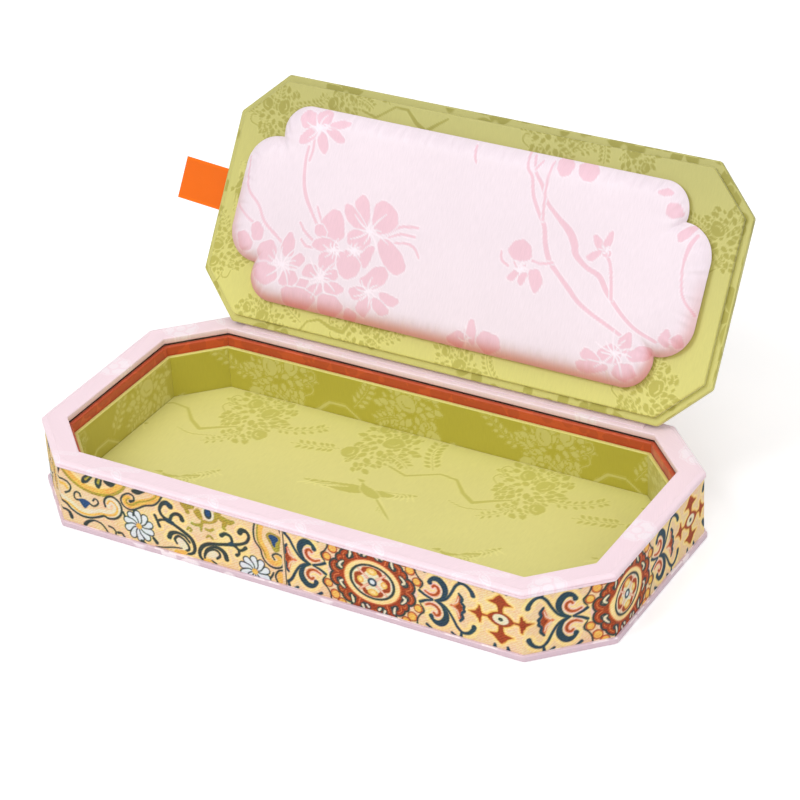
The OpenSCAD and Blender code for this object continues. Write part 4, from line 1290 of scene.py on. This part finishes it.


def cushion_height(p, depth, cusps, rise, pucker):
    """Height of the cushion over its card at places p, depth in from its border: a crown that dips and gathers at the
    cusps, with small pulls along its edge and slight waves."""
    away = [np.hypot(*(p - cusp).T) for cusp in cusps]
    near, cusp = np.min(away, axis=0), cusps[np.argmin(away, axis=0)]
    angle = np.arctan2(p[:, 1] - cusp[:, 1], p[:, 0] - cusp[:, 0])
    z = CUSHION_SIDE + (rise - CUSHION_SIDE) * (1 - (1 - np.clip(depth / 8.5, 0, 1)) ** 2.6)
    gathers = 0.16 * np.cos(9 * angle) * np.exp(-near / 6.0) * (1 - np.exp(-near / 1.5))
    z = z - 0.7 * np.exp(-(near / 4.5) ** 2) + gathers
    run = np.linspace(0, 1, len(p), endpoint=False) * 173
    z = z + pucker * np.sin(run * 6.28 * 0.55 + 1.3 * np.sin(run * 1.7)) * np.exp(-((depth - 3.0) / 2.6) ** 2)
    return z + 0.10 * np.sin(p[:, 0] / 13 + 1) * np.cos(p[:, 1] / 9) * np.clip(depth / 10, 0, 1)


class BOX_OT_cushion(Operator):
    """Pad the lid's cushion and pull its satin in at the scallops"""
    bl_idname = "box.cushion"
    bl_label = "Make Cushion"

    def execute(self, context):
        size, pitch = context.scene.box_padding, figure_pitch(context)
        rise, pucker = size.cushion_rise * 1000, size.pucker * 1000
        border, cusps = cushion_border(pitch)
        half_l, half_h = CUSHION_HALF
        spine = np.c_[np.clip(border[:, 0], -(half_l - half_h), half_l - half_h), np.zeros(len(border))]
        out = border - spine
        length_in = np.hypot(*out.T)
        below = np.clip(0.25 + 0.9 * out[:, 1] / length_in, 0, 1)
        level, rings = np.zeros(len(border)), []
        for step, z in ((1.5, 0.0), (0.7, 0.3), (0.2, 0.75)):
            rings.append((border + (spine - border) * (step / length_in)[:, None], level, level + z))
        for step in (0.0, 0.12, 0.35, 0.7, 1.15, 1.7, *np.arange(2.3, half_h, pitch)):
            share = np.minimum(step / half_h, 0.999)
            p, depth = border + (spine - border) * share, share * length_in
            rings.append((p, depth, cushion_height(p, depth, cusps, rise, pucker)))
        rows = np.array([np.c_[p, CARD_Z - z] for p, _, z in rings])
        piece = sheet_mesh("cushion", opened(rows), looking_in(rows), around=True, caps=("first", "seam"), smooth=80)
        points = rows.reshape(-1, 3)
        point_values(piece, "figure", cushion_figure(np.c_[points[:, 0], -points[:, 1]]))
        # painted shade: the cushion's lower border is darkened, fading inwards
        point_values(piece, "turned", [below * np.exp(-(depth / PAINTED_SHADE_DEPTH) ** 2) for _, depth, _ in rings])
        finish_piece(piece, "Cushion satin", "lid", "pink_satin", "lid_cushion")
        return {"FINISHED"}


class BOX_OT_plate(Operator):
    """Cover the lid's inner plate with figured satin"""
    bl_idname = "box.plate"
    bl_label = "Make Inner Plate"

    def execute(self, context):
        pitch, edge, corner_r = figure_pitch(context), 0.5, 1.2
        path = [(PLATE_STEP + 0.2, LID_Z - SKIN), (PLATE_STEP, LID_Z - 0.3)]
        path += rounded(PLATE_STEP, PLATE_Z, edge, -edge, np.radians(np.linspace(0, 90, 6)))
        path += [(s, PLATE_Z) for s in np.arange(PLATE_STEP + edge + pitch, PLATE_STEP + PLATE_COVER, pitch)]
        grid = []
        for step, z in path:
            places = outline(step, pitch, max(0.3, corner_r + PLATE_STEP - step), 4)[0]
            grid.append(np.c_[places, np.full(len(places), z)])
        grid = np.array(grid)
        piece = sheet_mesh("lid_plate_cover", opened(grid), looking_in(grid), around=True, caps=("first", "last"),
                           smooth=50)
        point_values(piece, "figure", plate_figure(grid.reshape(-1, 3)[:, :2] * [1, -1]))
        finish_piece(piece, "Lid satin", "lid", "green_satin", "lid_inner_plate")
        return {"FINISHED"}


class BOX_OT_lid_top(Operator):
    """Pad the outside of the lid with brocade"""
    bl_idname = "box.lid_top"
    bl_label = "Make Padded Top"

    def execute(self, context):
        size = context.scene.box_padding
        rise, pitch = size.top_rise * 1000, size.figure_pitch * 1200
        foot, side, half_h = LID_TOP_Z + 0.32, 0.7, HALF_W - TOP_STEP
        rings = [(outline(TOP_STEP + step, pitch, 1.5 - step)[0], z)
                 for step, z in ((0.4, 0.0), (0.05, 0.3), (0.0, side))]
        border = outline(TOP_STEP + 0.1, pitch, 1.4)[0]
        spine_x = np.clip(border[:, 0], half_h - HALF_L + TOP_STEP, HALF_L - TOP_STEP - half_h)
        spine = np.c_[spine_x, np.zeros(len(border))]
        for share in np.r_[0.0, 0.004, 0.01, np.arange(0.02, 0.995, pitch / half_h)]:
            places = border + (spine - border) * share
            depth = 0.1 + share * np.hypot(*(spine - border).T)
            swell = side + (rise - side) * (1 - (1 - np.clip(depth / TOP_RUN, 0, 1)) ** 2.4)
            pulls = 0.05 * np.sin(places[:, 0] / 2.1) * np.sin(places[:, 1] / 1.7) * np.exp(-((depth - 2.5) / 2) ** 2)
            rings.append((places, swell + pulls))
        rows = np.array([np.c_[places, np.broadcast_to(foot + z, len(places))] for places, z in rings])
        flat = np.concatenate([rows[..., :2], rows[:, :1, :2]], 1)
        facing = np.argmin(np.hypot(*(rows[0, :, :2] - rows[0, 0, :2] * [1, -1]).T))
        piece = sheet_mesh("lid_top_pad", opened(rows), flat, around=True, caps=("first", "seam"), smooth=70,
                           mirror=facing)
        x, y = rows.reshape(-1, 3)[:, :2].T
        row = np.round(y / TOP_ROW_PITCH)
        cloth = np.c_[x + (row % 2) * WHEEL_PITCH / 2, y - row * TOP_ROW_PITCH]
        thread_colours(piece, wheel_cloth(cloth, threads_of(context)))
        finish_piece(piece, "Brocade", "lid", "brocade", "lid_padded_top")
        return {"FINISHED"}


def strip(line, half_width, thick):
    """Thin strip of cloth along a line of (across, up) places; its width runs the third way. Closed all round."""
    runs = np.r_[0, np.cumsum(np.hypot(*np.diff(line, axis=0).T))]
    way = np.gradient(line, axis=0)
    way /= np.hypot(*way.T)[:, None]
    side = np.c_[-way[:, 1], way[:, 0]] * thick / 2
    across = np.linspace(-half_width, half_width, max(9, round(half_width / 4)))
    wide = np.r_[across, across[::-1]]
    out = np.r_[np.ones(len(across)), -np.ones(len(across))]
    grid = np.stack([line[:, None, 0] + side[:, None, 0] * out, np.broadcast_to(wide, (len(line), len(wide))),
                     line[:, None, 1] + side[:, None, 1] * out], -1)
    flat = np.stack(np.broadcast_arrays(np.r_[wide, wide[0]], runs[:, None]), -1)
    return grid, flat, runs[-1]


class BOX_OT_ribbon(Operator):
    """Fold the ribbon of the pull"""
    bl_idname = "box.ribbon"
    bl_label = "Make Ribbon Pull"

    def execute(self, context):
        # places are (x, z) of the closed lid: the lower run, the fold at the ribbon's end, and the upper run
        root, end, low = -HALF_L + LID_STEP, -HALF_L + LID_STEP - RIBBON_OUT, LID_TOP_Z + 0.1
        lower = [(root + s, low + z) for s, z in ((11.5, 0), (4, 0), (0, 0), (-6, 0), (-12, 0.08))]
        fold = [(end + 0.62 - FOLD_R * math.cos(a), low + 0.7 + FOLD_R * math.sin(a))
                for a in np.radians(np.linspace(-75, 75, 7))]
        upper = [(root + s, low + z) for s, z in ((-12, 0.9), (-6, 0.5), (0, 0.22), (4, 0.2), (11.5, 0.2))]
        path = [*lower, (end + 1.6, low + 0.15), *fold, (end + 1.6, low + 1.15), *upper]
        line = curve_through([(x, z, 0) for x, z in path], 4)[:, :2]
        grid, flat, long = strip(line, RIBBON_HALF, RIBBON_T)
        grid[..., 1] += RIBBON_LIFT * np.minimum(grid[..., 0] - root, 0)
        piece = sheet_mesh("ribbon_loop", opened(grid), flat, around=True, caps=("first", "last"), smooth=60)
        finish_piece(piece, "Ribbon weave", "lid", "orange_ribbon", "ribbon_pull")
        return {"FINISHED"}


class BOX_OT_hinge_cloth(Operator):
    """Lay the hinge cloth from the rim, under the lid's back edge and up the lid"""
    bl_idname = "box.hinge_cloth"
    bl_label = "Make Hinge Cloth"

    def execute(self, context):
        # places are (y, z): glued to the rim, slack at the bend, glued to the lid
        rim = [(y, RIM_TOP + 0.07) for y in (55.3, 54.0, 52.7, 51.4, 50.3)]
        slack = [(y, RIM_TOP + z) for y, z in ((50.0, 0.12), (50.05, 0.2), (50.6, 0.26), (51.5, 0.36), (52.4, 0.47))]
        lid = opened([(0, y, LID_TOP_Z + 0.09) for y in (46.9, 45.8, 44.5, 43.0, 41.3, 39.4)])[:, 1:]
        line = curve_through([(y, z, 0) for y, z in [*rim, *slack, *lid]], 3)[:, :2]
        grid, flat, long = strip(line, LEAF_HALF, LEAF_T)
        piece = sheet_mesh("hinge_cloth", grid[..., [1, 0, 2]] * [-1, 1, 1], flat, around=True,
                           caps=("first", "last"), smooth=60)
        point_values(piece, "figure", np.zeros(len(piece.data.vertices)))
        finish_piece(piece, "Rim satin", None, "pink_satin", "hinge_rim_leaf", "hinge_lid_leaf")
        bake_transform(piece)
        return {"FINISHED"}


# Table, lamps and camera; places are in metres
TABLE_HALF, TABLE_GAP, TABLE_TONE, TABLE_GLOW = 2500, 0.05, 0.86, 0.36
FILL_LIGHT, WHITE = 0.42, (1, 1, 1, 1)
LAMP_AIM = Vector((0, 0.02, 0.03))
LAMPS = (  # name, place, size, power
    ("key", (-0.55, -0.9, 1.25), 0.8, 10.0), ("front", (0.7, -1.3, 0.9), 0.9, 7.0),
    ("side", (1.2, 0.1, 0.8), 0.8, 3.0), ("top", (0.0, 0.2, 1.5), 0.9, 4.0))
AZIMUTH, ELEVATION, ROLL = (math.radians(angle) for angle in (31.7489, 31.037, -3.3279))
CAMERA_TARGET, CAMERA_DISTANCE = Vector((-0.0270622, 0.0685136, 0.0)), 1.0872289
FOCAL_PIXELS, PICTURE_PIXELS, SENSOR = 2900.5743, 800, 36.0
CLIP = 0.05, 20


def table():
    """Pale table; only the camera sees its glow."""
    ticks = np.linspace(-TABLE_HALF, TABLE_HALF, 11)
    floor = sheet_mesh("table", np.array([[(x, y, 0) for x in ticks] for y in ticks]) - [0, 0, TABLE_GAP])
    material, tree, surface = shader("Table", **{
        "Base Color": (TABLE_TONE, TABLE_TONE, TABLE_TONE, 1), "Roughness": 0.9, "Specular IOR Level": 0.1})
    seen = add(tree, "ShaderNodeLightPath").outputs["Is Camera Ray"]
    glow = add(tree, "ShaderNodeEmission", {"Color": WHITE, "Strength": times(tree, seen, TABLE_GLOW)})
    both = add(tree, "ShaderNodeAddShader", {0: surface.outputs[0], 1: glow.outputs[0]})
    tree.links.new(both.outputs[0], tree.nodes["Material Output"].inputs[0])
    floor.data.materials.append(material)


def studio(scene):
    """Bright white world to the camera and in reflections, and a dimmer fill light; with four soft lamps."""
    world = bpy.data.worlds.new("Studio")
    world.use_nodes = True
    scene.world = world
    tree = world.node_tree
    path = add(tree, "ShaderNodeLightPath").outputs
    mirrored = calc(tree, "MAXIMUM", path["Is Camera Ray"], path["Is Glossy Ray"])
    bright = calc(tree, "MAXIMUM", mirrored, path["Is Transmission Ray"])
    tree.nodes["Background"].inputs["Color"].default_value = WHITE
    tree.links.new(spread(tree, bright, 0.0, 1.0, FILL_LIGHT, 1.0), tree.nodes["Background"].inputs["Strength"])
    for name, place, size, power in LAMPS:
        lamp = bpy.data.lights.new(name, "AREA")
        lamp.energy, lamp.size = power, size
        made = bpy.data.objects.new(name, lamp)
        made.location = place
        made.rotation_euler = (LAMP_AIM - Vector(place)).to_track_quat("-Z", "Y").to_euler()
        scene.collection.objects.link(made)


def photo_camera(scene):
    """Camera at the photograph's viewing angle, which leans a little to one side."""
    flat = math.cos(ELEVATION)
    back = Vector((math.sin(AZIMUTH) * flat, -math.cos(AZIMUTH) * flat, math.sin(ELEVATION)))
    right = (-back).cross(Vector((0, 0, 1))).normalized()
    up = right.cross(-back)
    across = right * math.cos(ROLL) + up * math.sin(ROLL)
    upward = -right * math.sin(ROLL) + up * math.cos(ROLL)
    camera = bpy.data.objects.new("camera", bpy.data.cameras.new("camera"))
    turn = Matrix((across, upward, back)).transposed().to_4x4()
    camera.matrix_world = Matrix.Translation(CAMERA_TARGET + back * CAMERA_DISTANCE) @ turn
    camera.data.sensor_width, camera.data.lens = SENSOR, FOCAL_PIXELS * SENSOR / PICTURE_PIXELS
    camera.data.clip_start, camera.data.clip_end = CLIP
    scene.collection.objects.link(camera)
    scene.camera = camera


class BOX_OT_stage(Operator):
    """Set up the table, the light and the camera"""
    bl_idname = "box.stage"
    bl_label = "Set Stage"

    def execute(self, context):
        table()
        studio(context.scene)
        photo_camera(context.scene)
        context.scene.view_settings.view_transform = "Standard"
        return {"FINISHED"}


STEPS = (BOX_OT_stage, BOX_OT_materials, BOX_OT_boards, BOX_OT_brocade, BOX_OT_rim, BOX_OT_tray, BOX_OT_floor,
         BOX_OT_plate, BOX_OT_cushion, BOX_OT_lid_top, BOX_OT_ribbon, BOX_OT_hinge_cloth)


class BOX_PT_panel(Panel):
    bl_label = "Keepsake Box"
    bl_idname = "BOX_PT_panel"
    bl_space_type = "VIEW_3D"
    bl_region_type = "UI"
    bl_category = "Box"

    def draw(self, context):
        for group in (context.scene.box_threads, context.scene.box_satins, context.scene.box_padding):
            column = self.layout.column()
            for name in type(group).__annotations__:
                column.prop(group, name)
        for step in STEPS:
            self.layout.operator(step.bl_idname)


CLASSES = (BoxThreads, BoxSatins, BoxPadding, *STEPS, BOX_PT_panel)


def register():
    for made in CLASSES:
        bpy.utils.register_class(made)
    bpy.types.Scene.box_threads = PointerProperty(type=BoxThreads)
    bpy.types.Scene.box_satins = PointerProperty(type=BoxSatins)
    bpy.types.Scene.box_padding = PointerProperty(type=BoxPadding)


def unregister():
    del bpy.types.Scene.box_threads, bpy.types.Scene.box_satins, bpy.types.Scene.box_padding
    for made in reversed(CLASSES):
        bpy.utils.unregister_class(made)


def main():
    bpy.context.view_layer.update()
    register()
    for step in STEPS:
        getattr(bpy.ops.box, step.bl_idname.split(".")[1])()


if __name__ == "__main__":
    main()
